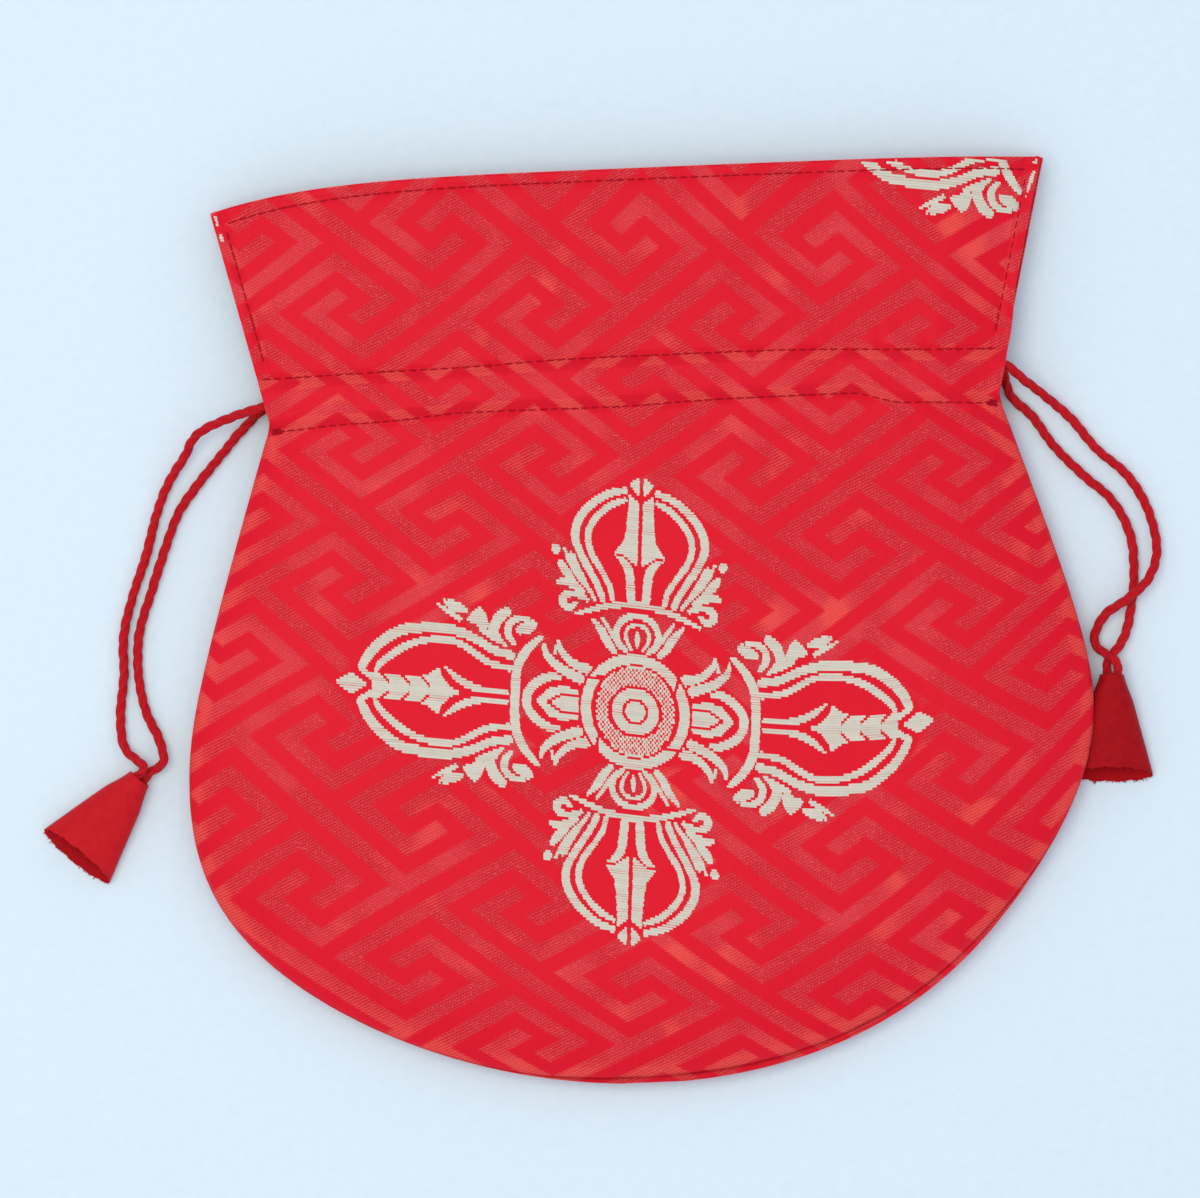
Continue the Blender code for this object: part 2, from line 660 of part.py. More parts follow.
def build_drawstrings(cord, cone_cloth):
    drawstring("left_drawstring", -1.0, LEFT_FRONT_STRAND, LEFT_BACK_STRAND,
               LEFT_CONE_AT, LEFT_CONE_TO, cord)
    drawstring("right_drawstring", 1.0, RIGHT_FRONT_STRAND, RIGHT_BACK_STRAND,
               RIGHT_CONE_AT, RIGHT_CONE_TO, cord)
    for side, at, to in (("left", LEFT_CONE_AT, LEFT_CONE_TO),
                         ("right", RIGHT_CONE_AT, RIGHT_CONE_TO)):
        cone(side + "_cone_end", at, to, cone_cloth)
        end_knot(side + "_end_knot", at, to, cord)


def main():
    clear_scene()
    brocade = material("satin_brocade", (0.76, 0.012, 0.03), 0.42, 0.2)
    lining = material("cotton_lining", (0.55, 0.02, 0.03), 0.8)
    thread = material("sewing_thread", (0.33, 0.005, 0.014), 0.5)
    cord = material("twisted_cord", (0.55, 0.018, 0.02), 0.55)
    cone_cloth = material("cone_cloth", (0.55, 0.012, 0.018), 0.7)
    weft = material("cream_weft", (0.58, 0.54, 0.43), 0.5)
    build_panels(brocade, lining)
    build_stitching(thread)
    build_drawstrings(cord, cone_cloth)
    woven_ornament("double_vajra_weave", weft)


main()
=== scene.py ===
"""Looks for a kinchaku, a small drawstring pouch of woven brocade, lying flat on its back.

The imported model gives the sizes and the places. Each cloth layer is built again here
as a fine sheet over the same surface, with the stitching's grooves, the puckers and
the figure's weft on it, and the drawstrings are laid up from three plies.

X runs across the pouch, Y from the round bottom to the mouth, Z up. Sizes are in
millimetres and the scene is in metres. Heights and outlines are worked out with Y
measured from the body's widest line, as in the model, and placed() moves them.
"""

import math
import random

import bpy
import numpy as np
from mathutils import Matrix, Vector
from mathutils.kdtree import KDTree


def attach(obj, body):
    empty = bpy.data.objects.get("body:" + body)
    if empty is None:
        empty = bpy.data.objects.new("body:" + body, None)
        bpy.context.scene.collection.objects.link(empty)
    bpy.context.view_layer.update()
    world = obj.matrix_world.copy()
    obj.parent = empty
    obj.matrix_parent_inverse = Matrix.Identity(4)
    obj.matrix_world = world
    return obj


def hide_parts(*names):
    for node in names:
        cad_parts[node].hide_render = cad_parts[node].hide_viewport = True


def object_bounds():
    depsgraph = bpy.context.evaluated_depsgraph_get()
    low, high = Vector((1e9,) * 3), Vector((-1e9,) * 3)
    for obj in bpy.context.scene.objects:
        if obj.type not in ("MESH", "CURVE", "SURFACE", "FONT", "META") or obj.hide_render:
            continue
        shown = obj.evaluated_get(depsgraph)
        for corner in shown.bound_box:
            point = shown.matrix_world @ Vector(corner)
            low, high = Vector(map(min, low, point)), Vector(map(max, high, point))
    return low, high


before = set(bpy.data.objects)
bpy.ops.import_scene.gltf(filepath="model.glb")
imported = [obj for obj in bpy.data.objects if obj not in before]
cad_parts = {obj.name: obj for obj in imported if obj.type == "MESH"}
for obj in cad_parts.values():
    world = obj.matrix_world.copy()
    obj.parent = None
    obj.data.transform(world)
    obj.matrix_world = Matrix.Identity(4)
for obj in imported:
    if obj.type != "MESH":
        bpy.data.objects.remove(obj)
CAD_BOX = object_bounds()
MM = 0.001
CHANCE = random.Random(7)

# Outline of the panels, as in the model
BODY_WIDTH = 181.0
BODY_DROP = 68.8
BODY_RISE = 66.3
NECK_WIDTH = 145.6
MOUTH_WIDTH = 168.6
FLAP_HEIGHT = 37.9
SIDE_SOFTNESS = 0.25
LEFT_CORNER_DROOP = 5.4
RIGHT_CORNER_DROOP = 1.2
BACK_FLAP_EXTRA = 0.5
AXIS_OFFSET = 1.2
LOW_LEAN = 5.8
LOW_LEAN_Y = -37.0
LOW_LEAN_SPREAD = 30.0

# Cloth, thread and cord, as in the model
BROCADE = 0.5
LINING = 0.3
GAP = 0.3
CORD_DIAMETER = 2.0
THREAD_DIAMETER = 0.35

# Heights of the pouch on its back, as in the model
BODY_GAP = 7.6
NECK_GAP = 4.6
MOUTH_GAP = 6.8
SEAM_HEIGHT = 4.3
FRONT_CROWN_REACH = 28.0
BACK_LIFT_REACH = 22.0
BACK_LIFT_CURVE = 1.6
SEAM_OPENING = 4.0
SEAM_TURN = 1.4
CASING_WIDTH = 9.9
CASING_RAMP = 2.4
ROW_DIP = 1.2
ROW_LIFT = 1.0
ROW_LIFT_REACH = 7.0
NECK_SIDE_DROP = 1.8
NECK_SIDE_REACH = 16.0
LINING_MOUTH_INSET = 7.0
CORD_SPACING = 2.6

# Cones on the drawstrings' ends, as in the model
CONE_LENGTH = 21.6
CONE_RIM_WIDTH = 17.0
CONE_RIM_HEIGHT = 4.5
CONE_RIM_FOOT = 1.0
CONE_LIP_SLANT = 2.0
CONE_WALL = 0.45
CONE_CLEARANCE = 0.1
CORD_END_AT = 4.4
CORD_LEAD_IN = 2.4
LEFT_CONE_AT = (-101.0, -26.7)
LEFT_CONE_TO = (-115.3, -42.8)
RIGHT_CONE_AT = (95.0, -13.9)
RIGHT_CONE_TO = (94.0, -35.5)

# Routes of the loose strands, as in the model: x, y and z
LEFT_FRONT_STRAND = [
    (-85.3, 42.6, 5.0), (-89.4, 37.4, 2.6), (-93.1, 31.8, 1.5), (-95.7, 25.7, 1.1),
    (-97.9, 18.2, 1.1), (-100.9, 10.3, 1.1), (-103.1, 2.2, 1.1), (-103.4, -5.8, 1.1),
    (-104.4, -13.3, 1.1), (-103.9, -20.3, 1.6),
]
LEFT_BACK_STRAND = [
    (-77.4, 42.6, 1.3), (-81.9, 37.7, 1.1), (-86.9, 31.9, 1.1), (-91.1, 26.3, 1.1),
    (-94.1, 19.2, 1.1), (-97.1, 10.9, 1.1), (-99.9, 2.7, 1.1), (-100.5, -5.8, 1.1),
    (-99.3, -13.3, 1.1), (-96.9, -18.9, 1.6), (-96.1, -23.5, 2.8),
]
RIGHT_FRONT_STRAND = [
    (79.9, 45.6, 5.4), (84.9, 41.6, 2.6), (89.5, 37.3, 1.3), (94.1, 31.3, 1.1),
    (99.9, 25.9, 1.1), (103.7, 18.9, 1.1), (105.2, 10.9, 1.5), (103.1, 4.9, 3.0),
    (98.5, 1.0, 3.5), (93.9, -2.2, 2.0), (91.9, -7.5, 1.4),
]
RIGHT_BACK_STRAND = [
    (77.1, 42.9, 1.4), (81.3, 38.6, 1.1), (85.5, 32.3, 1.1), (91.1, 26.3, 1.1),
    (96.5, 21.1, 1.1), (99.9, 14.3, 1.1), (100.5, 7.3, 1.0), (99.7, 0.1, 1.0),
    (97.9, -6.5, 1.6),
]

# How the sewn casing rows wander from straight: x across and y along
LOWER_ROW_BOW = [(-72, -1.7), (-53, -0.8), (-30, 0.5), (-5, 0.4), (23, 1.1), (44, 1.2),
                 (56, -1.2), (75, -1.9)]
UPPER_ROW_BOW = [(-72, -1.0), (-40, -0.5), (-5, 0.5), (25, 0.5), (75, -0.9)]

# Folds of the gathered casing: start, end, height and width
FOLDS = [
    ((40.0, 48.5), (60.0, 41.5), 0.55, 1.1), ((52.0, 50.5), (58.0, 44.0), -0.35, 1.3),
    ((63.0, 48.5), (74.0, 41.5), 0.4, 0.9), ((60.0, 46.0), (73.0, 43.5), -0.35, 0.8),
    ((66.0, 40.5), (76.0, 33.0), 0.3, 1.6), ((-70.0, 46.0), (-56.0, 48.5), 0.4, 1.1),
    ((-71.0, 50.5), (-60.0, 50.0), 0.3, 0.8), ((-69.0, 40.0), (-58.0, 33.5), 0.3, 1.5),
]

# Stitching
STITCH_PITCH = 2.1
STITCH_LENGTH = 1.95
GROOVE_DEPTH = 0.3
GROOVE_WIDTH = 0.6
TOPSTITCH_INSET = 2.1
RIGHT_TOPSTITCH_INSET = 3.0

# Fret woven into the cloth: two steps of its lattice, length and angle, and where
# the middle of one figure lies
FRET_STEP_A = (6.0, 29.8)
FRET_STEP_B = (6.4, -40.0)
FRET_CENTRE = (-17.8, 18.3)
FRET_REPEAT = 8.0
FRET_BAR = 0.25

# Weave of the cloth and of the figure
WARP_PITCH = 0.35
TWILL_PITCH = 0.68
WEFT_PITCH = 0.5
FLOSS_SPREAD = 0.17
FLOAT_STEP = 1.3
FIGURE_CENTRE = (-1.0, -17.3)
UPPER_RIGHT_FIGURE = (101.0, 92.2)

# Slivers of another repeat along the flap's left edge: their middle and their outlines
LEFT_EDGE_AT = (-79.4, 78.0)
LEFT_EDGE_FLECKS = [
    [(-3.2, 7.0), (-1.5, 6.8), (-1.2, 4.8), (-1.7, 3.3), (-2.3, 2.6), (-3.4, 4.4)],
    [(-1.9, 2.1), (-0.8, 3.6), (0.0, 2.7), (-0.2, 1.5), (-1.2, 0.1)],
    [(-0.9, -0.4), (0.2, -1.6), (0.4, -3.5), (-0.2, -2.9)],
    [(0.6, -5.0), (1.9, -6.2), (1.25, -7.1)],
]

# How the cloth carries the figure: the weft's and the warp's tilt, and the weft's bow
WEFT_TILT = -0.163
WARP_TILT = 0.07
WEFT_S_BOW = 1.6e-5
WEFT_END_BOW = 1.8e-7

# Width of each float as a share of the weft's pitch, the share of floats that lie wide, and
# how far they rise from the cloth
WIDE_WIDTH = 0.57
NARROW_WIDTHS = (0.42, 0.47)
WIDE_FLOATS = 0.86
FLOAT_CROWNS = (0.085, 0.10)

# Ovals inside the figure's arms and round its hub, where the ground is plain: middle out
# along X and along Y, and half their size
PLAIN_OVALS = [(40.5, 0.0, 17.5, 12.0), (0.0, 32.5, 12.0, 13.0), (0.0, 0.0, 21.0, 11.5)]

# Lay of the drawstrings' cord
CORD_STEP = 0.55
CORD_LAY = 8.5
PLY_SHARE = 0.6
PLY_SIDES = 8

# The cones: how far their necks are pulled in, how much further their lips slant than in
# the model, and the threads that fray from their rims
NECK_PINCH = 0.16
LIP_SLANT_SHARE = 1.5
FRAYED_THREADS = 180
FRAYED_LENGTHS = (0.15, 0.6)

# How far the front flap's right edge is drawn in
FLAP_DRAWN_IN = 0.9

# How finely the cloth is built, and how far its closer rows reach at the flap's ends
PANEL_STEP = 1.15
LINING_STEP = 2.5
FLAP_CLOSE_ROWS = 3.0

# The sky is a touch lavender, which shows in the shadows, and the lamp makes up for it
SKY_COLOUR = (0.97, 0.95, 1.07, 1.0)
SKY_STRENGTH = 0.7
LAMP_COLOUR = (0.96, 1.0, 0.75)
LAMP_POWER = 4.36
LAMP_SIZE = 0.8
LAMP_AT = (-0.22, 0.08, 1.0)

# The camera hangs straight over the pouch and is turned a little, as in the photo
CAMERA_AT = (-7.1 * MM, 5.5 * MM, 1.208)
CAMERA_TURN = -2.4
CAMERA_LENS = 180.0
CAMERA_SENSOR = 36.0
FLOOR_HALF = 0.9

# Settings of the shader's sums
TIMES = dict(operation="MULTIPLY")
TIMES_PLUS = dict(operation="MULTIPLY_ADD")
LESS = dict(operation="SUBTRACT")

# Values that follow from the sizes above
STACK = BROCADE + GAP + LINING
CHANNEL = CORD_DIAMETER + 2 * GAP
CASING_DEPTH = BROCADE + CHANNEL + LINING
CASING_TOP = 2 * CASING_DEPTH + NECK_GAP
BODY_TOP = 2 * STACK + BODY_GAP
MOUTH_TOP = 2 * STACK + MOUTH_GAP
SEAM_TOP = SEAM_HEIGHT + BROCADE + GAP
LOWER_ROW_Y = BODY_RISE
UPPER_ROW_Y = LOWER_ROW_Y + CASING_WIDTH
MOUTH_Y = UPPER_ROW_Y + FLAP_HEIGHT
CHANNEL_Y = (LOWER_ROW_Y + UPPER_ROW_Y) / 2
FIRST_ROW_ANGLE = math.radians(4.0)
BOTTOM_Y = -BODY_DROP * math.cos(FIRST_ROW_ANGLE)
Y_SHIFT = -(MOUTH_Y + BACK_FLAP_EXTRA + BOTTOM_Y) / 2


def smooth(t):
    """A soft step from 0 to 1."""
    t = np.clip(t, 0.0, 1.0)
    return t * t * (3.0 - 2.0 * t)


def mix(a, b, t):
    return a + (b - a) * t


def through(knots, x):
    """A smooth line through knots of x and y."""
    knots = np.array(knots, float)
    i = np.clip(np.searchsorted(knots[:, 0], x) - 1, 0, len(knots) - 2)
    t = smooth((x - knots[i, 0]) / (knots[i + 1, 0] - knots[i, 0]))
    return mix(knots[i, 1], knots[i + 1, 1], t)


def half_width(y, inset=0.0):
    """Half the panel's width at y, measured from its widest line."""
    drop = BODY_DROP - inset
    low = (BODY_WIDTH / 2 - inset) * np.sqrt(np.clip(1.0 - (y / drop) ** 2, 0.0, 1.0))
    t = np.clip(y / BODY_RISE, 0.0, 1.0)
    bend = np.hypot(t, SIDE_SOFTNESS) - SIDE_SOFTNESS
    bend = bend / (math.hypot(1.0, SIDE_SOFTNESS) - SIDE_SOFTNESS)
    side = BODY_WIDTH / 2 - (BODY_WIDTH - NECK_WIDTH) / 2 * bend - inset
    rise = (y - BODY_RISE) / (MOUTH_Y - BODY_RISE)
    flare = mix(NECK_WIDTH / 2, MOUTH_WIDTH / 2, rise) - inset
    return np.where(y < 0.0, low, np.where(y < BODY_RISE, side, flare))


def lean(y):
    """X of the panel's middle line before it is centred."""
    return AXIS_OFFSET - LOW_LEAN * np.exp(-((y - LOW_LEAN_Y) / LOW_LEAN_SPREAD) ** 2)


def outline(samples=500):
    """Points down the left side, round the bottom and up the right side."""
    angle = np.linspace(0.0, math.pi / 2, samples)
    low = -BODY_DROP * np.cos(angle)
    high = np.linspace(0.0, MOUTH_Y, samples)[1:]
    y = np.concatenate([low, high])
    left = np.stack([lean(y) - half_width(y), y], axis=1)
    right = np.stack([lean(y) + half_width(y), y], axis=1)
    return np.concatenate([left[::-1], right[1:]])


def distance_along(points):
    """How far along their path the points lie."""
    return np.concatenate([[0.0], np.cumsum(np.linalg.norm(np.diff(points, axis=0), axis=1))])


OUTLINE = outline()
X_SHIFT = -(OUTLINE[:, 0].min() + OUTLINE[:, 0].max()) / 2
OUTLINE_RUN = distance_along(OUTLINE)
OUTLINE_TREE = KDTree(len(OUTLINE))
for index, (edge_x, edge_y) in enumerate(OUTLINE):
    OUTLINE_TREE.insert((edge_x, edge_y, 0.0), index)
OUTLINE_TREE.balance()
ALONG = np.gradient(OUTLINE, axis=0)
ALONG /= np.linalg.norm(ALONG, axis=1, keepdims=True)
OUTWARD = np.stack([ALONG[:, 1], -ALONG[:, 0]], axis=1)


def from_edge(x, y):
    """Each point's distance from the sides and bottom, the way out, and how far round."""
    points = np.stack([x.ravel(), y.ravel()], axis=1)
    nearest = np.array([OUTLINE_TREE.find((px, py, 0.0))[1] for px, py in points])
    toward = OUTLINE[nearest] - points
    distance = np.linalg.norm(toward, axis=1)
    close = (distance < GAP)[:, None]
    out = np.where(close, OUTWARD[nearest], toward / np.maximum(distance, GAP)[:, None])
    return (distance.reshape(x.shape), out.reshape(x.shape + (2,)),
            OUTLINE_RUN[nearest].reshape(x.shape))


def row_bow(x, y):
    """How far the casing at this place is sewn above its straight line."""
    share = np.clip((y - LOWER_ROW_Y) / CASING_WIDTH, 0.0, 1.0)
    near = 1.0 - smooth((LOWER_ROW_Y - y) / 30.0)
    near = near * (1.0 - smooth((y - UPPER_ROW_Y) / 30.0))
    place = x + X_SHIFT
    return near * mix(through(LOWER_ROW_BOW, place), through(UPPER_ROW_BOW, place), share)


def in_channel(y):
    """1 along the drawstring channel, 0 at its stitch rows and beyond."""
    return smooth((y - LOWER_ROW_Y) / CASING_RAMP) * smooth((UPPER_ROW_Y - y) / CASING_RAMP)


def seamed(y):
    """1 where the panels are sewn together, 0 from the casing upward."""
    return smooth((LOWER_ROW_Y - y) / SEAM_OPENING)


def wander(x, y, size, seed):
    """A slow soft unevenness between -1 and 1 with humps of about this size."""
    k = 2 * math.pi / size
    a = np.sin(k * (0.83 * x + 0.41 * y) + 1.7 * seed)
    b = np.sin(k * (0.37 * x - 0.79 * y) + 2.9 * seed)
    c = np.sin(k * (1.31 * x + 0.23 * y) * 0.7 + 4.1 * seed)
    return (a + b + c + a * b) / 4


def groove(away):
    """The dent that a row of stitches pulls into the cloth: a soft one and a sharp one."""
    soft = 0.55 * np.exp(-(away / (2.0 * GROOVE_WIDTH)) ** 2)
    return -GROOVE_DEPTH * (soft + np.exp(-(away / GROOVE_WIDTH) ** 2))


def fold(x, y, start, end, height, width):
    """A soft ridge of gathered cloth from one place to another, in final millimetres."""
    dx, dy = end[0] - start[0], end[1] - start[1]
    length = math.hypot(dx, dy)
    along = ((x - start[0]) * dx + (y - start[1]) * dy) / length
    away = ((y - start[1]) * dx - (x - start[0]) * dy) / length
    ends = smooth(along / length * 3.0) * smooth((length - along) / length * 3.0)
    return height * ends * np.exp(-(away / width) ** 2)


def puckers(x, away, seed):
    """Small folds that run out from a row of stitches, as the thread draws it up."""
    wave = np.sin(2 * math.pi * (x / 5.3 + 0.35 * np.sin(x / 11.0 + seed)))
    wave = wave + 0.6 * np.sin(2 * math.pi * x / 3.1 + seed)
    strength = 0.55 + 0.45 * np.sin(x / 17.0 + 2.0 * seed)
    return 0.13 * wave * strength * np.exp(-np.abs(away) / 3.2)


def front_relief(x, y, distance, run):
    """Puckers, stitch grooves and the soft unevenness of the cloth's outer face."""
    lower = y - LOWER_ROW_Y
    upper = y - UPPER_ROW_Y
    sewn = seamed(y)
    z = groove(lower) + groove(upper)
    z = z + puckers(x, lower, 1.0) + puckers(x, upper, 2.3)
    place = x + X_SHIFT
    for start, end, height, width in FOLDS:
        z = z + fold(place, y + Y_SHIFT, start, end, height, width)
    flap = smooth((y - UPPER_ROW_Y) / 3.0)
    corner = LEFT_CORNER_DROOP * np.clip(-place / 84.0, 0, 1) ** 4
    from_mouth = MOUTH_Y - corner - y
    edge = np.where(place > 0.0, RIGHT_TOPSTITCH_INSET, TOPSTITCH_INSET)
    rim = np.sin(place / 0.55 + np.sin(place / 3.0)) + np.sin(run / 0.6 + np.sin(run / 4.0))
    z = z + flap * (groove(from_mouth - TOPSTITCH_INSET) + groove(distance - edge)) * 0.7
    z = z + flap * 0.05 * rim * np.exp(-np.minimum(from_mouth, distance) / 2.0)
    gathered = smooth((place - 40.0) / 20.0) + 0.5 * smooth((-place - 52.0) / 16.0)
    folds = np.sin((x * 0.93 + y * 0.62) / 1.15 + 0.8 * np.sin(x / 4.0))
    z = z + 0.22 * gathered * folds * np.exp(-(lower / 4.0) ** 2)
    seam_waves = np.sin(run / 0.95 + 1.3 * np.sin(run / 7.0)) + 0.7 * np.sin(run / 2.3)
    z = z + 0.10 * sewn * seam_waves * np.exp(-distance / 4.5) * smooth(distance / 1.5)
    z = z + 0.30 * wander(x, y, 46.0, 1.0) * smooth(distance / 14.0)
    return z + 0.08 * wander(x, y, 15.0, 2.0)


def front_surface(x, y):
    """The front panel's outer face: height, the slope of its rounded edge, the way out."""
    flat_y = y - row_bow(x, y)
    row_top = CASING_TOP - ROW_DIP
    body_end = LOWER_ROW_Y - 2 * ROW_LIFT_REACH
    top = mix(BODY_TOP, row_top, smooth((flat_y - body_end) / (LOWER_ROW_Y - body_end)))
    top = mix(top, MOUTH_TOP, np.clip((flat_y - UPPER_ROW_Y) / FLAP_HEIGHT, 0.0, 1.0))
    top = top + ROW_DIP * in_channel(flat_y)
    distance, out, run = from_edge(x, y)
    sewn = seamed(y)
    t = np.clip(distance / FRONT_CROWN_REACH, 1e-4, 1.0)
    round_edge = np.sqrt(1.0 - (1.0 - t) ** 2)
    sewn_height = mix(SEAM_TOP, top, round_edge)
    loose_height = top - NECK_SIDE_DROP * (1.0 - smooth(distance / NECK_SIDE_REACH))
    slope = sewn * (BODY_TOP - SEAM_TOP) / FRONT_CROWN_REACH * (1.0 - t) / round_edge
    slope = np.where(distance < GAP / 10, slope * 100, slope)
    height = mix(loose_height, sewn_height, sewn)
    return height + front_relief(x, flat_y, distance, run), slope, out


def back_surface(x, y):
    """Height of the back panel's outer face, which lies on the floor."""
    row_lift = smooth((y - LOWER_ROW_Y + ROW_LIFT_REACH) / ROW_LIFT_REACH)
    row_lift = row_lift * (1.0 - smooth((y - UPPER_ROW_Y) / ROW_LIFT_REACH))
    row_lift = ROW_LIFT * row_lift * (1.0 - in_channel(y))
    distance, _, run = from_edge(x, y)
    t = np.clip(distance / BACK_LIFT_REACH, 0.0, 1.0)
    seam_lift = SEAM_HEIGHT * seamed(y) * (1.0 - t) ** BACK_LIFT_CURVE
    height = np.maximum(row_lift, seam_lift)
    waves = np.sin(run / 1.05 + 1.1 * np.sin(run / 8.0)) * np.exp(-distance / 4.0)
    height = height + 0.12 * seamed(y) * waves
    ripple = puckers(x, y - LOWER_ROW_Y, 3.0) + puckers(x, y - UPPER_ROW_Y, 4.0)
    return np.maximum(height + np.minimum(row_lift, 1.0) * ripple, 0.0)


def placed(x, y, z):
    """Points in metres with the origin under the middle of the pouch."""
    return np.stack([x + X_SHIFT, y + Y_SHIFT, z], axis=-1) * MM


def corner_droop(across):
    """How far the mouth's edge droops, from -1 at its left corner to 1 at its right."""
    left = LEFT_CORNER_DROOP * np.clip(-across, 0, 1) ** 4
    return left + RIGHT_CORNER_DROOP * np.clip(across, 0, 1) ** 4


def panel_grid(step, inset=0.0, casing_inset=0.0, extra_height=0.0):
    """X and Y of a panel's points, row by row from the bottom to the mouth."""
    columns = int(BODY_WIDTH * 1.35 / step) + 1
    across = np.sin(np.linspace(-math.pi / 2, math.pi / 2, columns))
    top = MOUTH_Y + extra_height - corner_droop(across)
    angle = np.linspace(FIRST_ROW_ANGLE, math.pi / 2, int(BODY_DROP * 1.35 / step))
    low = -BODY_DROP * np.cos(angle)
    high = np.linspace(0.0, UPPER_ROW_Y, int(UPPER_ROW_Y / step))[1:]
    # Closer rows of points where stitches pull narrow grooves into the cloth
    close = step * 0.4
    for start, end in ((LOWER_ROW_Y - 2.6, LOWER_ROW_Y + 2.6),
                       (UPPER_ROW_Y - FLAP_CLOSE_ROWS, UPPER_ROW_Y)):
        high = high[(high < start - close / 2) | (high > end + close / 2)]
        high = np.sort(np.concatenate([high, np.arange(start, end + close / 2, close)]))
    levels = np.concatenate([low, high])
    y = np.repeat(levels[:, None], columns, axis=1)
    rows = int(FLAP_HEIGHT / step)
    near = FLAP_CLOSE_ROWS / FLAP_HEIGHT
    share = np.arange(1, rows + 1) / rows
    share = share[(share > near) & (share < 1.0 - near)]
    fine = np.arange(close, FLAP_CLOSE_ROWS, close) / FLAP_HEIGHT
    share = np.concatenate([fine, share, 1.0 - fine[::-1], [1.0]])[:, None]
    y = np.concatenate([y, mix(UPPER_ROW_Y, top[None, :], share)])
    y = np.maximum(y, BOTTOM_Y + inset)
    trim = inset + casing_inset * in_channel(y)
    x = lean(y) + across[None, :] * half_width(y, trim)
    return x, y


def crescent(x):
    """How far the front's seam is drawn in at the lower right, which bares the back."""
    return 1.25 * smooth((x + 35.0) / 40.0) * (1.0 - smooth((x - 58.0) / 30.0))


def flap_drawn_in(x, y):
    """How far the front flap's right edge is drawn in, which bares the back flap."""
    return FLAP_DRAWN_IN * smooth((y - UPPER_ROW_Y - 2.0) / 10.0) * smooth(x / 30.0)


def front_layer(step, depth, casing_extra=0.0, casing_inset=0.0):
    """One face of a front layer, this deep under the panel's outer face."""
    x, y = panel_grid(step, casing_inset=casing_inset)
    z, slope, out = front_surface(x, y)
    distance, _, _ = from_edge(x, y)
    drawn = crescent(x) * smooth(-y / 30.0) * np.exp(-distance / 9.0)
    drawn = drawn + flap_drawn_in(x, y) * np.exp(-distance / 6.0)
    depth = depth + casing_extra * in_channel(y - row_bow(x, y))
    length = np.hypot(slope, 1.0)
    x_in = x - (depth * slope / length + drawn) * out[..., 0]
    y_in = y - (depth * slope / length + drawn) * out[..., 1]
    return placed(x_in, y_in, z - depth / length)


def back_layer(step, depth, casing_extra=0.0, casing_inset=0.0, inset=0.0):
    """One face of a back layer, this high above the back panel's outer face."""
    x, y = panel_grid(step, inset, casing_inset, BACK_FLAP_EXTRA)
    z = back_surface(x, y) + depth + casing_extra * in_channel(y)
    return placed(x, y, z)


def linear(code):
    """An sRGB hex colour as the linear values that the shaders use."""
    parts = [int(code[i:i + 2], 16) / 255 for i in (0, 2, 4)]
    return [c / 12.92 if c <= 0.04045 else ((c + 0.055) / 1.055) ** 2.4 for c in parts] + [1.0]


def connect(tree, made, sockets):
    """Give a node's sockets their values, hex colours or links."""
    for name, value in sockets.items():
        if isinstance(value, str):
            value = linear(value)
        if isinstance(value, bpy.types.Node):
            value = value.outputs[0]
        if isinstance(value, bpy.types.NodeSocket):
            tree.links.new(value, made.inputs[name])
        else:
            made.inputs[name].default_value = value


def node(tree, kind, settings=None, sockets=None):
    """Add a shader node with its settings, and give its sockets values or links."""
    made = tree.nodes.new("ShaderNode" + kind)
    for name, value in (settings or {}).items():
        setattr(made, name, value)
    connect(tree, made, sockets or {})
    return made


def finish_of(name, sockets):
    """A new material and its shader, with the sockets that are the same all over."""
    made = bpy.data.materials.new(name)
    made.use_nodes = True
    shader = made.node_tree.nodes["Principled BSDF"]
    connect(made.node_tree, shader, sockets)
    return made, made.node_tree, shader


def linked(name, data):
    """A new object in the scene."""
    made = bpy.data.objects.new(name, data)
    bpy.context.scene.collection.objects.link(made)
    return made


def mesh_piece(name, points, faces, finish, flat_below=50.0):
    """A piece of the pouch made of points in metres and faces of their numbers."""
    mesh = bpy.data.meshes.new(name)
    mesh.from_pydata([tuple(p) for p in points], [], faces)
    mesh.validate()
    mesh.shade_smooth()
    mesh.set_sharp_from_angle(angle=math.radians(flat_below))
    mesh.materials.append(finish)
    piece = linked(name, mesh)
    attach(piece, "root")
    return piece


def store(piece, name, values):
    """Give each point of a piece its own number or vector, which its finish reads."""
    values = np.array(values, float)
    kind, key = ("FLOAT_VECTOR", "vector") if values.ndim == 2 else ("FLOAT", "value")
    piece.data.attributes.new(name, kind, "POINT").data.foreach_set(key, values.ravel())


def fret_matrix():
    """Turns millimetres from the fret's middle into its own two steps."""
    steps = [[length * math.cos(math.radians(angle)), length * math.sin(math.radians(angle))]
             for length, angle in (FRET_STEP_A, FRET_STEP_B)]
    return np.linalg.inv(np.array(steps).T)


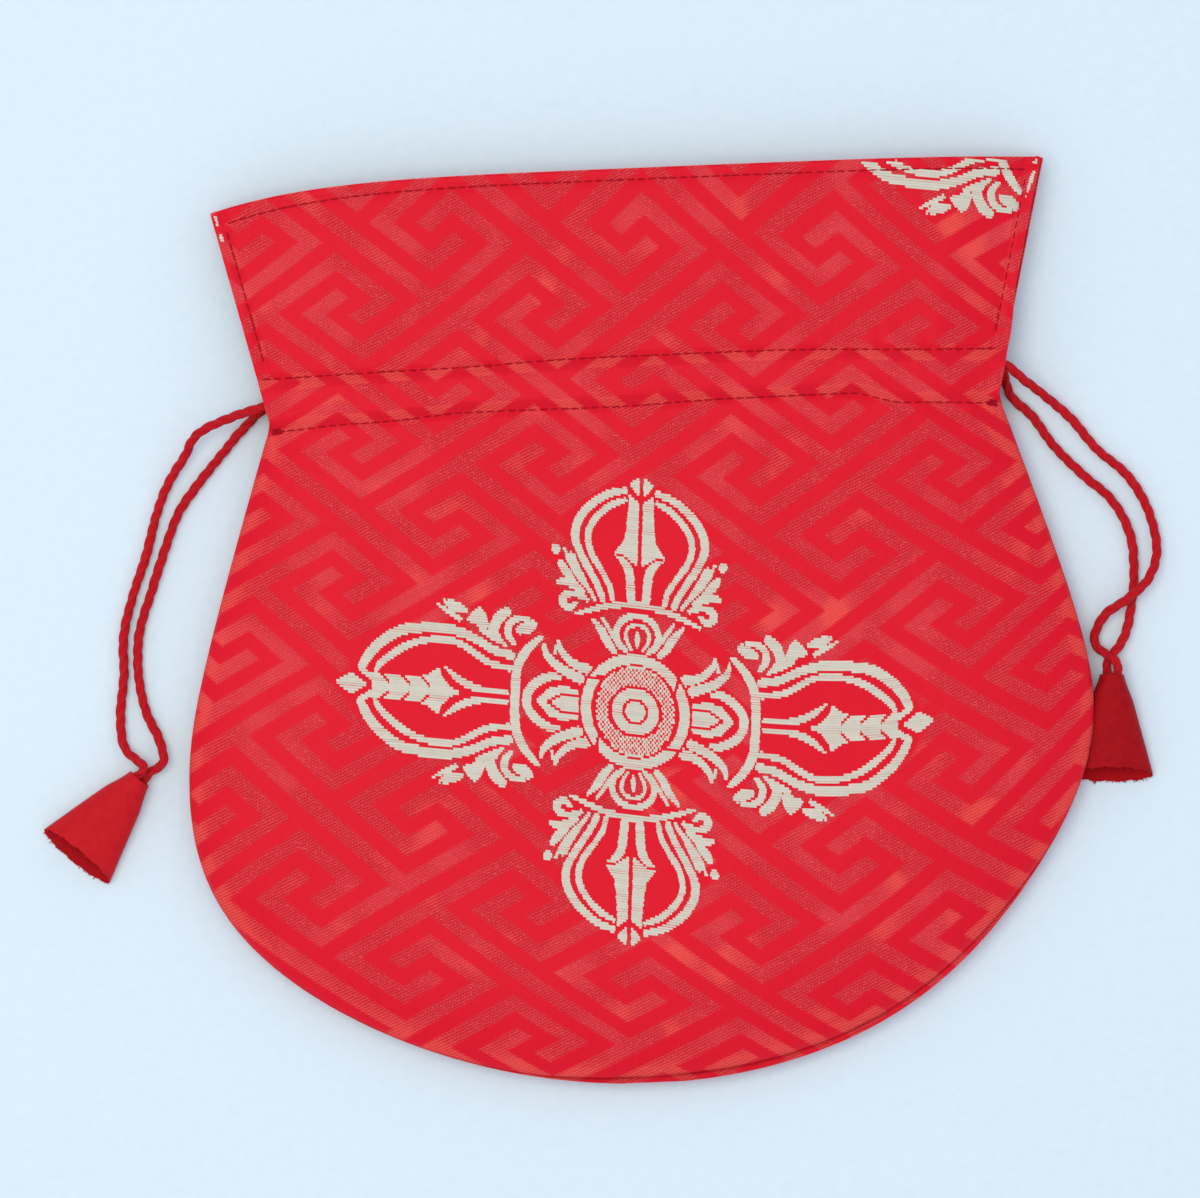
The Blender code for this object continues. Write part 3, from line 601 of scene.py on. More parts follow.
def fret_place(x, y):
    """Where a point in millimetres lies in the fret's own steps."""
    u = x / (BODY_WIDTH / 2)
    v = y / (BODY_WIDTH / 2)
    # The cloth is pulled out of square by the sewing. Each number is what one kind of lean, bow
    # or twist amounts to at the body's edge, to half a millimetre, as the fret shows it
    slant = 9.5 * u * v - 1.0 * u - 3.0 * v
    bow = 5.5 * v ** 2 + 5.0 * v ** 3 - 4.5 * v ** 4 - 3.0 * u * v ** 3
    sag = 5.0 * v ** 2 - 5.0 * v - 6.0 * u ** 2 - 4.0 * u ** 3 - 7.5 * v ** 4
    twist = u * v * (4.5 * u - 5.5 + 9.0 * u ** 2 + 10.0 * u * v)
    x = x - FRET_CENTRE[0] + slant + bow
    y = y - FRET_CENTRE[1] + sag + twist
    back = fret_matrix()
    return back[0, 0] * x + back[0, 1] * y, back[1, 0] * x + back[1, 1] * y


def cloth_coordinates(piece):
    """Store where each point lies on the cloth: along and across its weft, in fret steps."""
    flat = np.zeros(len(piece.data.vertices) * 3)
    piece.data.vertices.foreach_get("co", flat)
    x, y, z = flat.reshape(-1, 3).T / MM
    s, t = fret_place(x, y)
    threads = np.stack([x - WARP_TILT * y, y - WEFT_TILT * x, z], axis=1)
    # The weaver left the ground plain inside the figure's arms and round its hub
    p = x - FIGURE_CENTRE[0]
    q = y - FIGURE_CENTRE[1] - WEFT_TILT * p - WEFT_S_BOW * p ** 3 - WEFT_END_BOW * p ** 4
    p = p - WARP_TILT * q
    p, q = np.abs(p), np.abs(q)
    ovals = [np.hypot((p - middle_x) / half_x, (q - middle_y) / half_y)
             for middle_x, middle_y, half_x, half_y in PLAIN_OVALS]
    plain = 1.0 - smooth((np.min(ovals, axis=0) - 0.95) / 0.1)
    store(piece, "threads_mm", threads)
    store(piece, "fret_steps", np.stack([s, t, plain], axis=1))


def cloth_sheet(name, outer, inner, finish, edge_round):
    """A sheet of cloth between two faces that are grids, with a rounded turned edge."""
    rows, columns, _ = outer.shape
    count = rows * columns
    points = [outer.reshape(-1, 3), inner.reshape(-1, 3)]
    border = [(0, c) for c in range(columns)]
    border += [(r, columns - 1) for r in range(1, rows)]
    border += [(rows - 1, c) for c in range(columns - 2, -1, -1)]
    border += [(r, 0) for r in range(rows - 2, 0, -1)]
    near = np.array([outer[r, c] for r, c in border])
    far = np.array([inner[r, c] for r, c in border])
    ahead = np.roll(near, -1, axis=0) - np.roll(near, 1, axis=0)
    sideways = np.stack([ahead[:, 1], -ahead[:, 0]], axis=1)
    sideways /= np.maximum(np.linalg.norm(sideways, axis=1, keepdims=True), 1e-9)
    rings = []
    for share in (0.2, 0.5, 0.8):
        ring = mix(near, far, share)
        ring[:, :2] += sideways * edge_round * MM * math.sin(math.pi * share)
        rings.append(ring)
        points.append(ring)
    faces = []
    for r in range(rows - 1):
        for c in range(columns - 1):
            a = r * columns + c
            b = a + columns
            faces.append((a, a + 1, b + 1, b))
            faces.append((count + a, count + b, count + b + 1, count + a + 1))
    size = len(border)
    numbers = [[r * columns + c for r, c in border]]
    for k in range(len(rings)):
        numbers.append([2 * count + k * size + i for i in range(size)])
    numbers.append([count + r * columns + c for r, c in border])
    for ring, following in zip(numbers, numbers[1:]):
        for i in range(size):
            j = (i + 1) % size
            faces.append((ring[i], following[i], following[j], ring[j]))
    return mesh_piece(name, np.concatenate(points), faces, finish)


def smooth_curve(knots, steps):
    """Points of a smooth curve through the knots, which it passes at even times."""
    knots = [Vector(k) for k in knots]
    ends = [2 * knots[0] - knots[1]] + knots + [2 * knots[-1] - knots[-2]]
    points = []
    for i in range(1, len(ends) - 2):
        a, b, c, d = ends[i - 1:i + 3]
        for k in range(steps):
            t = k / steps
            points.append(0.5 * (2 * b + (c - a) * t + (2 * a - 5 * b + 4 * c - d) * t * t
                                 + (3 * b - a - 3 * c + d) * t ** 3))
    points.append(ends[-2])
    return points


def plain_height(x, y):
    """Height of the model's front panel at one point of its channel."""
    distance, _, _ = from_edge(np.array([[x]]), np.array([[y]]))
    top = CASING_TOP
    return float(top - NECK_SIDE_DROP * (1.0 - smooth(distance[0, 0] / NECK_SIDE_REACH)))


def casing_run(mouth_x, turn_x, y):
    """A drawstring's way through the front casing, round its end and back behind."""
    deep = BROCADE + GAP + CORD_DIAMETER / 2
    stretch = np.linspace(mouth_x, turn_x, 16)
    front = [(x, y, plain_height(x, y) - deep) for x in stretch]
    back = [(x, y, deep) for x in stretch[::-1]]
    way = math.copysign(1.0, turn_x - mouth_x)
    radius = (front[-1][2] - deep) / 2
    turn = []
    for step in range(1, 5):
        a = math.pi * step / 5
        turn.append((turn_x + way * radius * math.sin(a), y, deep + radius * (1 + math.cos(a))))
    return front + turn + back


def cone_axes(at, to):
    """The cone's neck, the way it points and the way across it, on the floor."""
    at = Vector((*at, 0.0))
    along = (Vector((*to, 0.0)) - at).normalized()
    return at, along, along.cross(Vector((0.0, 0.0, 1.0)))


def neck_radius():
    """Inner radius of the neck that holds two strands of cord side by side."""
    return CORD_DIAMETER + 1.3 * GAP


def strand_ends(at, to, front_side):
    """Each strand's last points, from just outside the cone's neck to its end inside."""
    at, along, across = cone_axes(at, to)
    outer = neck_radius() + CONE_WALL
    middle = at + Vector((0.0, 0.0, outer + CONE_CLEARANCE))
    apart = (CORD_DIAMETER / 2 + GAP / 2) / math.sqrt(2.0)
    shift = across * apart * front_side + Vector((0.0, 0.0, apart))
    ends = []
    for sign in (1.0, -1.0):
        ends.append([middle + sign * shift + along * s for s in (-CORD_LEAD_IN, 0.6, CORD_END_AT)])
    return ends


def drawstring_route(side, front_strand, back_strand, at, to):
    """The drawstring's whole route in millimetres, from one end round to the other."""
    neck_x = NECK_WIDTH / 2
    middle_x = float(lean(CHANNEL_Y))
    y = CHANNEL_Y + side * CORD_SPACING / 2
    mouth_x = middle_x + side * (neck_x + GAP)
    turn_x = middle_x - side * (neck_x - LINING_MOUTH_INSET + 2 * GAP)
    hidden = [(x + X_SHIFT, py + Y_SHIFT, z) for x, py, z in casing_run(mouth_x, turn_x, y)]
    front_end, back_end = strand_ends(at, to, -side)
    knots = list(reversed(front_end)) + list(reversed(front_strand)) + hidden
    knots += list(back_strand) + list(back_end)
    return smooth_curve(knots, 8)


def plain_turns(path):
    """Each point's way along the path and two ways across it that don't twist."""
    path = np.array(path, float)
    along = np.gradient(path, axis=0)
    along /= np.linalg.norm(along, axis=1, keepdims=True)
    side = np.cross(along[0], (0.0, 0.0, 1.0))
    sides = []
    for way in along:
        side = side - way * np.dot(side, way)
        side = side / np.linalg.norm(side)
        sides.append(side)
    sides = np.array(sides)
    return along, sides, np.cross(along, sides)


def even_path(points, step):
    """The same path with its points this far apart."""
    points = np.array([tuple(p) for p in points], float)
    run = distance_along(points)
    count = max(int(round(run[-1] / step)), 2)
    even = np.linspace(0.0, run[-1], count + 1)
    return np.stack([np.interp(even, run, points[:, k]) for k in range(3)], axis=1), even


def add_tube(points, faces, path, radii, sides):
    """Add one closed tube along a path to lists of points and faces."""
    _, side, up = plain_turns(path)
    start = len(points)
    for place, across, over, radius in zip(path, side, up, radii):
        for k in range(sides):
            a = 2 * math.pi * k / sides
            points.append(place + (across * math.cos(a) + over * math.sin(a)) * radius)
    rings = len(path)
    for r in range(rings - 1):
        for k in range(sides):
            n = (k + 1) % sides
            a = start + r * sides
            b = a + sides
            faces.append((a + k, a + n, b + n, b + k))
    faces.append([start + k for k in reversed(range(sides))])
    faces.append([start + (rings - 1) * sides + k for k in range(sides)])


def twisted_cord(name, route, finish):
    """A cord of three plies laid round each other along its route."""
    path, run = even_path(route, CORD_STEP)
    along, side, up = plain_turns(path)
    ply_radius = CORD_DIAMETER / 2 * PLY_SHARE
    offset = CORD_DIAMETER / 2 - ply_radius
    points = []
    faces = []
    turn = 2 * math.pi * run / CORD_LAY + 0.5 * np.sin(run / 9.0)
    for ply in range(3):
        angle = turn + 2 * math.pi * ply / 3
        way = side * np.cos(angle)[:, None] + up * np.sin(angle)[:, None]
        centre = path + way * offset
        plump = 1.0 + 0.05 * np.sin(run / 2.7 + ply) + 0.04 * np.sin(run / 1.1 + 2 * ply)
        radii = ply_radius * plump
        radii[[0, -1]] *= 0.5
        add_tube(points, faces, centre, radii, PLY_SIDES)
    points = np.array(points)
    points[:, 2] = np.maximum(points[:, 2], 0.02)
    piece = mesh_piece(name, points * MM, faces, finish)
    angle = np.tile(2 * math.pi * np.arange(PLY_SIDES) / PLY_SIDES, 3 * len(run))
    along_ply = np.repeat(np.tile(run, 3), PLY_SIDES)
    store(piece, "ply_place", np.stack([np.cos(angle), np.sin(angle), along_ply], axis=1))
    return piece, path * MM, run[-1] * MM


def cone_section(s, shrink):
    """Half width, foot height and lowest and highest point of the cone at share s."""
    neck = neck_radius() + CONE_WALL
    half = mix(neck, CONE_RIM_WIDTH / 2, s) - shrink
    top = mix(2 * neck, CONE_RIM_HEIGHT, s) + CONE_CLEARANCE - shrink
    foot = mix(neck, CONE_RIM_FOOT, s) + CONE_CLEARANCE
    return half, foot, CONE_CLEARANCE + shrink, top


def cone_point(at, to, s, angle, shrink, seed):
    """A point of the cone's cloth, with its soft folds and its uneven rim."""
    at, along, across = cone_axes(at, to)
    half, foot, low, high = cone_section(s, shrink)
    # The neck is pulled tighter round the cords than the model's plain section
    pinch = 1.0 - NECK_PINCH * (1.0 - smooth(s / 0.3))
    crease = 0.012 * s * math.sin(3 * angle + seed) + 0.008 * math.sin(5 * angle + 3 * s + seed)
    half = half * pinch * (1.0 + crease)
    up = math.sin(angle)
    reach = (high if up > 0 else 2 * foot - low) - foot
    z = foot + reach * up * (1.0 + 1.5 * crease if up > 0 else 1.0)
    slant = CONE_LIP_SLANT * s * (0.5 + 0.5 * up) * LIP_SLANT_SHARE
    wave = 0.10 * s ** 6 * (math.sin(11 * angle + seed) + 0.8 * math.sin(29 * angle + seed))
    reach_out = CONE_LENGTH * s - slant + wave
    place = at + along * reach_out + across * half * math.cos(angle)
    return place + Vector((0.0, 0.0, max(z, 0.03)))


def cone_of_cloth(name, at, to, finish, seed):
    """A cone of cloth, cut edge outward, with the threads that fray from its rim."""
    rings = 34
    sides = 88
    points = []
    layers = []
    for shrink in (0.0, CONE_WALL):
        layer = []
        for r in range(rings):
            ring = []
            for k in range(sides):
                ring.append(len(points))
                angle = 2 * math.pi * k / sides
                points.append(cone_point(at, to, r / (rings - 1), angle, shrink, seed))
            layer.append(ring)
        layers.append(layer)
    outer, inner = layers
    faces = []
    for k in range(sides):
        n = (k + 1) % sides
        for r in range(rings - 1):
            faces.append((outer[r][k], outer[r][n], outer[r + 1][n], outer[r + 1][k]))
            faces.append((inner[r][n], inner[r][k], inner[r + 1][k], inner[r + 1][n]))
        faces.append((outer[0][n], outer[0][k], inner[0][k], inner[0][n]))
        faces.append((outer[-1][k], outer[-1][n], inner[-1][n], inner[-1][k]))
    for _ in range(FRAYED_THREADS):
        angle = CHANCE.uniform(0.0, 2 * math.pi)
        start = cone_point(at, to, CHANCE.uniform(0.97, 1.0), angle, CONE_WALL / 2, seed)
        root = cone_point(at, to, 0.94, angle, CONE_WALL / 2, seed)
        out = (start - root).normalized()
        drift = Vector((CHANCE.uniform(-0.5, 0.5), CHANCE.uniform(-0.5, 0.5), -0.15))
        length = CHANCE.uniform(*FRAYED_LENGTHS)
        thread = [start + (out + drift * s) * length * s for s in (0.0, 0.5, 1.0)]
        for place in thread:
            place.z = max(place.z, 0.15)
        path = np.array([tuple(p) for p in thread])
        add_tube(points, faces, path, [0.09, 0.08, 0.05], 4)
    co = np.array([tuple(p) for p in points])
    piece = mesh_piece(name, co * MM, faces, finish, 60.0)
    neck, along, across = cone_axes(at, to)
    place = [((Vector(p) - neck).dot(across), (Vector(p) - neck).dot(along), p[2]) for p in co]
    store(piece, "cone_mm", place)
    # The inner layer's points are marked for the painted shade inside the cone
    inside = np.zeros(len(co))
    inside[rings * sides:2 * rings * sides] = 1.0
    store(piece, "cone_inside_shade", inside)
    return piece


def stitches_along(points, faces, path, sink):
    """Add a row of single stitches along a path, each a short thread sunk at its ends."""
    path, run = even_path(path, 0.25)
    up = np.array((0.0, 0.0, math.copysign(1.0, sink)))
    start = 0.3
    while start + STITCH_LENGTH < run[-1]:
        length = STITCH_LENGTH * CHANCE.uniform(0.92, 1.06)
        at = start + length * np.linspace(0.0, 1.0, 6)
        thread = np.stack([np.interp(at, run, path[:, k]) for k in range(3)], axis=1)
        arch = np.sin(np.linspace(0.0, math.pi, 6)) ** 0.6
        thread = thread + up * (arch * abs(sink) - abs(sink) * 0.6)[:, None]
        radius = 0.4 * THREAD_DIAMETER
        add_tube(points, faces, thread, radius * np.array([0.6, 1, 1, 1, 1, 0.6]), 6)
        start += STITCH_PITCH * CHANCE.uniform(0.96, 1.05)


def front_path(x, y):
    """Points on the front panel's face under a line of stitches."""
    z, _, _ = front_surface(x[None, :], y[None, :])
    return np.stack([x + X_SHIFT, y + Y_SHIFT, z[0] + 0.06], axis=1)


def back_path(x, y, layer):
    """Points this high above the back panel's outer face, under a line of stitches."""
    z = back_surface(x[None, :], y[None, :]) + layer
    return np.stack([x + X_SHIFT, y + Y_SHIFT, z[0]], axis=1)


def stitching_piece(name, paths, sink, finish):
    """All the stitches of one line as one piece, which stands for the model's thread."""
    points = []
    faces = []
    for path in paths:
        stitches_along(points, faces, path, sink)
    return mesh_piece(name, np.array(points) * MM, faces, finish)


def mouth_tacks(name, finish):
    """A few overcast stitches that hold each end of the front casing's lower row."""
    points = []
    faces = []
    for way in (-1.0, 1.0):
        for k in range(5):
            y = LOWER_ROW_Y + 0.24 * (k - 2) + np.linspace(-0.1, 0.1, 7) * (-1) ** k
            x = lean(y) + way * (half_width(y) - np.linspace(0.3, 2.7 - 0.35 * abs(k - 2), 7))
            path = front_path(x, y + through(LOWER_ROW_BOW, x + X_SHIFT))
            path[:, 2] += 0.08
            add_tube(points, faces, path, 0.45 * THREAD_DIAMETER * np.ones(7), 6)
    return mesh_piece(name, np.array(points) * MM, faces, finish)


def casing_row(y, on_front):
    """The line of one casing row across the panel, in final millimetres."""
    half = float(half_width(np.array(y))) - 0.8
    x = float(lean(y)) + np.linspace(-half, half, 90)
    if not on_front:
        return back_path(x, np.full_like(x, y), 0.0)
    bow = LOWER_ROW_BOW if y < CHANNEL_Y else UPPER_ROW_BOW
    return front_path(x, y + through(bow, x + X_SHIFT))


def flap_lines(on_front):
    """The topstitching's lines: up the left side, along the top, down the right side."""
    extra = 0.0 if on_front else BACK_FLAP_EXTRA
    low_y = UPPER_ROW_Y + TOPSTITCH_INSET
    corner_y = MOUTH_Y + extra - TOPSTITCH_INSET
    share = np.linspace(0.0, 1.0, 40)
    left_y = mix(low_y, corner_y - LEFT_CORNER_DROOP, share)
    right_y = mix(low_y, corner_y - RIGHT_CORNER_DROOP, share)
    left_x = lean(left_y) - half_width(left_y, TOPSTITCH_INSET)
    right_x = lean(right_y) + half_width(right_y, RIGHT_TOPSTITCH_INSET)
    across = np.sin(np.linspace(-math.pi / 2, math.pi / 2, 120))
    top_y = corner_y - corner_droop(across)
    top_x = lean(top_y) + across * half_width(top_y, TOPSTITCH_INSET + 0.4)
    lines = [(left_x, left_y), (top_x, top_y), (right_x, right_y)]
    if on_front:
        return [front_path(x, y) for x, y in lines]
    return [back_path(x, y, BROCADE) for x, y in lines]


# The figure, a crossed double vajra, a traditional ornament. Each stroke is a list of
# distance out along the arm, distance aside and half width; it is drawn on both sides
LEVEL_ARM = {
    "lines": [
        [(54.4, 3.5, 0.7), (53.4, 5.6, 0.8), (51.6, 7.9, 0.85), (49.4, 9.8, 0.9),
         (46.6, 11.5, 0.9), (43.2, 12.2, 0.85), (39.6, 12.5, 0.8), (36.2, 12.3, 0.8),
         (33.0, 11.4, 0.75), (30.4, 10.2, 0.7), (28.2, 9.1, 0.7), (24.8, 8.4, 0.7)],
        [(51.6, 3.0, 0.5), (50.6, 4.6, 0.6), (48.6, 6.4, 0.65), (46.1, 8.2, 0.65),
         (43.3, 9.5, 0.6), (40.0, 10.2, 0.6), (36.9, 10.2, 0.6), (34.4, 9.5, 0.6),
         (32.2, 8.2, 0.6), (29.8, 6.8, 0.6), (27.4, 6.1, 0.6), (25.0, 5.9, 0.6)],
        [(38.0, 4.9, 0.2), (36.6, 3.8, 0.5), (35.3, 2.8, 0.6), (33.4, 1.8, 0.65),
         (30.8, 1.1, 0.6), (28.0, 0.9, 0.55), (25.6, 0.85, 0.5)],
        [(19.0, 12.7, 0.5), (20.6, 11.2, 0.65), (22.3, 9.0, 0.75), (23.5, 6.3, 0.8),
         (23.9, 2.4, 0.8), (23.9, 0.0, 0.8)],
        [(34.1, 16.5, 0.5), (36.2, 17.1, 0.9), (38.5, 18.0, 0.3)],
        [(35.3, 14.7, 0.5), (37.6, 16.0, 0.5), (39.8, 17.3, 0.25)],
        [(26.0, 17.0, 0.8), (27.3, 15.9, 0.95), (28.3, 14.1, 0.9), (28.5, 12.5, 0.9),
         (26.7, 10.9, 0.4)],
        [(31.0, 12.9, 0.5), (28.4, 11.7, 0.6), (26.0, 10.3, 0.4)],
        [(24.4, 10.8, 0.5), (25.6, 12.6, 0.65), (25.4, 14.6, 0.65), (23.9, 15.8, 0.6),
         (21.8, 16.0, 0.5)],
        [(20.8, 14.9, 0.8), (21.9, 14.2, 1.05), (23.2, 13.7, 0.8)],
        [(15.2, 5.0, 0.5), (16.9, 5.1, 0.7), (19.7, 3.6, 0.75), (21.4, 1.4, 0.75),
         (21.6, 0.0, 0.75)],
        [(11.2, 5.3, 0.9), (13.5, 6.2, 0.8), (15.7, 7.3, 0.75), (18.0, 9.5, 0.6),
         (18.4, 11.4, 0.4)],
        [(9.6, 7.2, 0.9), (12.6, 8.2, 0.7), (14.9, 10.3, 0.6), (15.6, 12.2, 0.4)],
        [(16.0, 11.2, 0.35), (16.3, 9.7, 0.4)],
    ],
    "fills": [
        [(34.3, 0.0), (36.6, 0.9), (38.4, 2.9), (39.0, 4.8), (41.4, 3.0), (43.0, 2.6),
         (47.0, 2.6), (51.0, 2.6), (55.2, 2.9), (53.4, 1.2), (52.2, 0.0)],
        [(59.8, 0.0), (58.0, 1.3), (56.3, 2.2), (54.9, 1.1), (53.0, 0.0)],
        [(31.3, 17.6), (33.2, 16.0), (34.1, 14.5), (32.3, 13.9), (30.0, 12.9),
         (29.3, 13.8), (30.1, 16.2)],
        [(11.2, 0.0), (11.2, 2.7), (14.3, 3.6), (17.2, 2.8), (19.8, 0.0)],
    ],
    "cuts": [
        [(50.8, 2.7, 0.2), (49.0, 1.0, 0.2)],
        [(46.7, 2.7, 0.2), (44.9, 1.0, 0.2)],
        [(42.8, 2.8, 0.2), (41.0, 1.0, 0.2)],
        [(11.6, 1.9, 0.22), (14.7, 1.6, 0.22), (17.4, 0.0, 0.22)],
        [(53.9, 1.6, 0.2), (52.4, 0.5, 0.2)],
    ],
}
UPRIGHT_ARM = {
    "lines": [
        [(43.7, 3.3, 0.6), (42.7, 6.4, 0.65), (40.6, 9.4, 0.7), (38.2, 11.5, 0.7),
         (35.6, 12.7, 0.7), (33.0, 12.8, 0.7), (30.2, 11.7, 0.65), (27.6, 10.2, 0.65),
         (25.0, 8.6, 0.6), (23.0, 7.6, 0.6), (21.6, 7.1, 0.6)],
        [(41.8, 3.2, 0.5), (40.6, 5.8, 0.6), (38.4, 8.2, 0.6), (35.8, 9.9, 0.6),
         (33.2, 10.3, 0.6), (30.4, 9.5, 0.6), (28.2, 8.1, 0.6), (26.2, 6.8, 0.55),
         (24.2, 5.7, 0.55), (21.9, 5.2, 0.55)],
        [(30.6, 4.9, 0.2), (30.0, 3.7, 0.5), (29.0, 2.7, 0.7), (27.5, 2.0, 0.75),
         (25.0, 1.7, 0.75), (22.4, 1.5, 0.72)],
        [(21.3, 0.0, 0.6), (20.7, 4.8, 0.6), (19.4, 8.9, 0.55), (18.1, 12.3, 0.4)],
        [(31.4, 17.0, 0.4), (30.6, 16.6, 0.75), (29.9, 16.3, 0.4)],
        [(30.9, 15.0, 0.35), (29.8, 14.5, 0.35)],
        [(29.2, 13.6, 0.9), (27.0, 12.5, 0.8), (24.6, 10.9, 0.6), (22.6, 9.4, 0.45),
         (21.4, 8.6, 0.4)],
        [(27.8, 15.6, 0.6), (26.2, 14.4, 0.75), (24.4, 12.8, 0.55), (22.8, 10.9, 0.4)],
        [(24.0, 16.0, 0.5), (24.3, 14.6, 0.7), (23.5, 12.9, 0.55), (22.2, 11.0, 0.4)],
        [(21.2, 10.2, 0.5), (22.0, 12.4, 0.6), (21.7, 14.4, 0.65), (20.2, 15.0, 0.7),
         (19.2, 13.6, 0.6), (20.2, 12.4, 0.5)],
        [(11.9, 2.2, 0.5), (13.6, 3.8, 0.6), (15.6, 4.2, 0.6), (17.6, 3.3, 0.6),
         (18.8, 1.5, 0.6), (19.0, 0.0, 0.6)],
        [(12.4, 1.2, 0.35), (13.9, 2.1, 0.4), (15.6, 2.3, 0.4), (16.8, 1.5, 0.4),
         (17.3, 0.0, 0.4)],
        [(12.8, 0.0, 0.3), (14.4, 0.0, 0.55), (15.9, 0.0, 0.3)],
        [(17.5, 9.0, 0.35), (15.3, 7.1, 0.7), (13.2, 5.9, 0.7), (11.5, 4.5, 0.55)],
        [(18.0, 7.1, 0.35), (15.9, 5.7, 0.45), (13.9, 4.5, 0.4), (12.1, 3.2, 0.35)],
    ],
    "fills": [
        [(46.9, 0.35), (46.6, 0.8), (45.1, 2.5), (43.9, 1.6), (42.7, 0.35)],
        [(43.2, 2.5), (41.6, 0.35), (28.8, 0.35), (29.6, 1.6), (30.8, 3.2), (31.0, 5.1),
         (32.2, 4.4), (33.6, 3.3), (36.0, 2.9), (40.0, 2.6)],
    ],
    "cuts": [],
}
# Hub rings from the middle outward: half height, half width and half thickness
HUB_DISC = (9.0, 7.9)
HUB_RING = (10.4, 9.8, 1.05)
HUB_INNER_CUTS = [(4.95, 4.95, 0.26), (2.3, 2.3, 0.26)]
HUB_DOTS_FROM = 5.2
HUB_DOT_PITCH = 0.8
HUB_DOT = 0.2
CANVAS_OUT = 62.0
CANVAS_UP = 50.0
CANVAS_STEP = 0.1


class Canvas:
    """The figure's plan, one row for each weft thread."""

    def __init__(self):
        self.across = np.arange(-CANVAS_OUT, CANVAS_OUT, CANVAS_STEP)
        self.up = np.arange(-CANVAS_UP + WEFT_PITCH / 2, CANVAS_UP, WEFT_PITCH)
        self.covered = np.zeros((len(self.up), len(self.across)), bool)

    def stroke(self, knots, covered):
        """Draw a smooth stroke of changing width, or cut it out."""
        for x, y, half in smooth_curve(knots, 14):
            if covered:
                half = half + FLOSS_SPREAD * float(smooth((half - 0.45) / 0.3))
            low = int((x - half + CANVAS_OUT) / CANVAS_STEP) - 1
            high = int((x + half + CANVAS_OUT) / CANVAS_STEP) + 2
            half_up = max(half, WEFT_PITCH * 0.52)
            bottom = max(int((y - half_up + CANVAS_UP) / WEFT_PITCH) - 1, 0)
            top = int((y + half_up + CANVAS_UP) / WEFT_PITCH) + 2
            dx = (self.across[None, low:high] - x) / half
            dy = (self.up[bottom:top, None] - y) / half_up
            part = self.covered[bottom:top, low:high]
            part[dx * dx + dy * dy <= 1.0] = covered

    def fill(self, corners):
        """Cover everything inside an outline."""
        x = self.across[None, :]
        y = self.up[:, None]
        inside = np.zeros(self.covered.shape, bool)
        for (x1, y1), (x2, y2) in zip(corners, corners[1:] + corners[:1]):
            if y1 == y2:
                continue
            crosses = (y1 > y) != (y2 > y)
            inside ^= crosses & (x < (x2 - x1) * (y - y1) / (y2 - y1) + x1)
        self.covered |= inside

    def ring(self, half_up, half_across, half, covered):
        """Draw or cut a ring round the middle."""
        x = self.across[None, :]
        y = self.up[:, None]
        away = np.hypot(x / half_across, y / half_up)
        size = np.hypot(x, y) / np.maximum(away, 1e-6)
        self.covered[np.abs(away - 1.0) * size <= half] = covered


def figure_plan():
    """Draw the whole figure and return its canvas."""
    canvas = Canvas()
    for arm, upright in ((LEVEL_ARM, False), (UPRIGHT_ARM, True)):
        for way in (1.0, -1.0):
            for side in (1.0, -1.0):
                def place(out, aside):
                    return (side * aside, way * out) if upright else (way * out, side * aside)

                for knots in arm["lines"]:
                    canvas.stroke([(*place(k[0], k[1]), k[2]) for k in knots], True)
                for corners in arm["fills"]:
                    canvas.fill([place(*k) for k in corners])
        for way in (1.0, -1.0):
            for side in (1.0, -1.0):
                for knots in arm["cuts"]:
                    cut = [(way * k[0], side * k[1], k[2]) for k in knots]
                    canvas.stroke(cut, False)
    x = canvas.across[None, :]
    y = canvas.up[:, None]
    disc = np.hypot(x / HUB_DISC[1], y / HUB_DISC[0])
    canvas.covered[np.hypot(x / (HUB_RING[1] + 1.5), y / (HUB_RING[0] + 1.4)) < 1.0] = False
    canvas.ring(*HUB_RING, True)
    canvas.covered[disc <= 1.0] = True
    for cut in HUB_INNER_CUTS:
        canvas.ring(*cut, False)
    dotted = (disc <= 0.97) & (np.hypot(x, y) > HUB_DOTS_FROM)
    row = np.arange(len(canvas.up))[:, None]
    phase = (x / HUB_DOT_PITCH + 0.5 * (row % 2)) % 1.0
    canvas.covered[dotted & (phase < HUB_DOT / HUB_DOT_PITCH)] = False
    for angle in (35.0, 145.0, 222.0, 318.0):
        a = math.radians(angle)
        cut = [(r * math.cos(a + t) * 0.95, r * math.sin(a + t), 0.27)
               for r, t in ((9.0, -0.12), (10.4, 0.0), (11.8, 0.12))]
        canvas.stroke(cut, False)
    return canvas


def figure_place(centre, p, q):
    """Where a place on the figure's plan lies on the pouch, in final millimetres."""
    bow = WEFT_S_BOW * p ** 3 + WEFT_END_BOW * p ** 4
    return centre[0] + p + WARP_TILT * q, centre[1] + q + WEFT_TILT * p + bow


def inside_panel(x, y, margin):
    """Whether a place in final millimetres lies on the front panel."""
    px = x - X_SHIFT
    py = y - Y_SHIFT
    across = np.clip((px - lean(py)) / half_width(py), -1, 1)
    top = MOUTH_Y - corner_droop(across)
    room = half_width(py, margin) - flap_drawn_in(px, py)
    return (np.abs(px - lean(py)) < room) & (py < top - margin) & (py > BOTTOM_Y + margin)


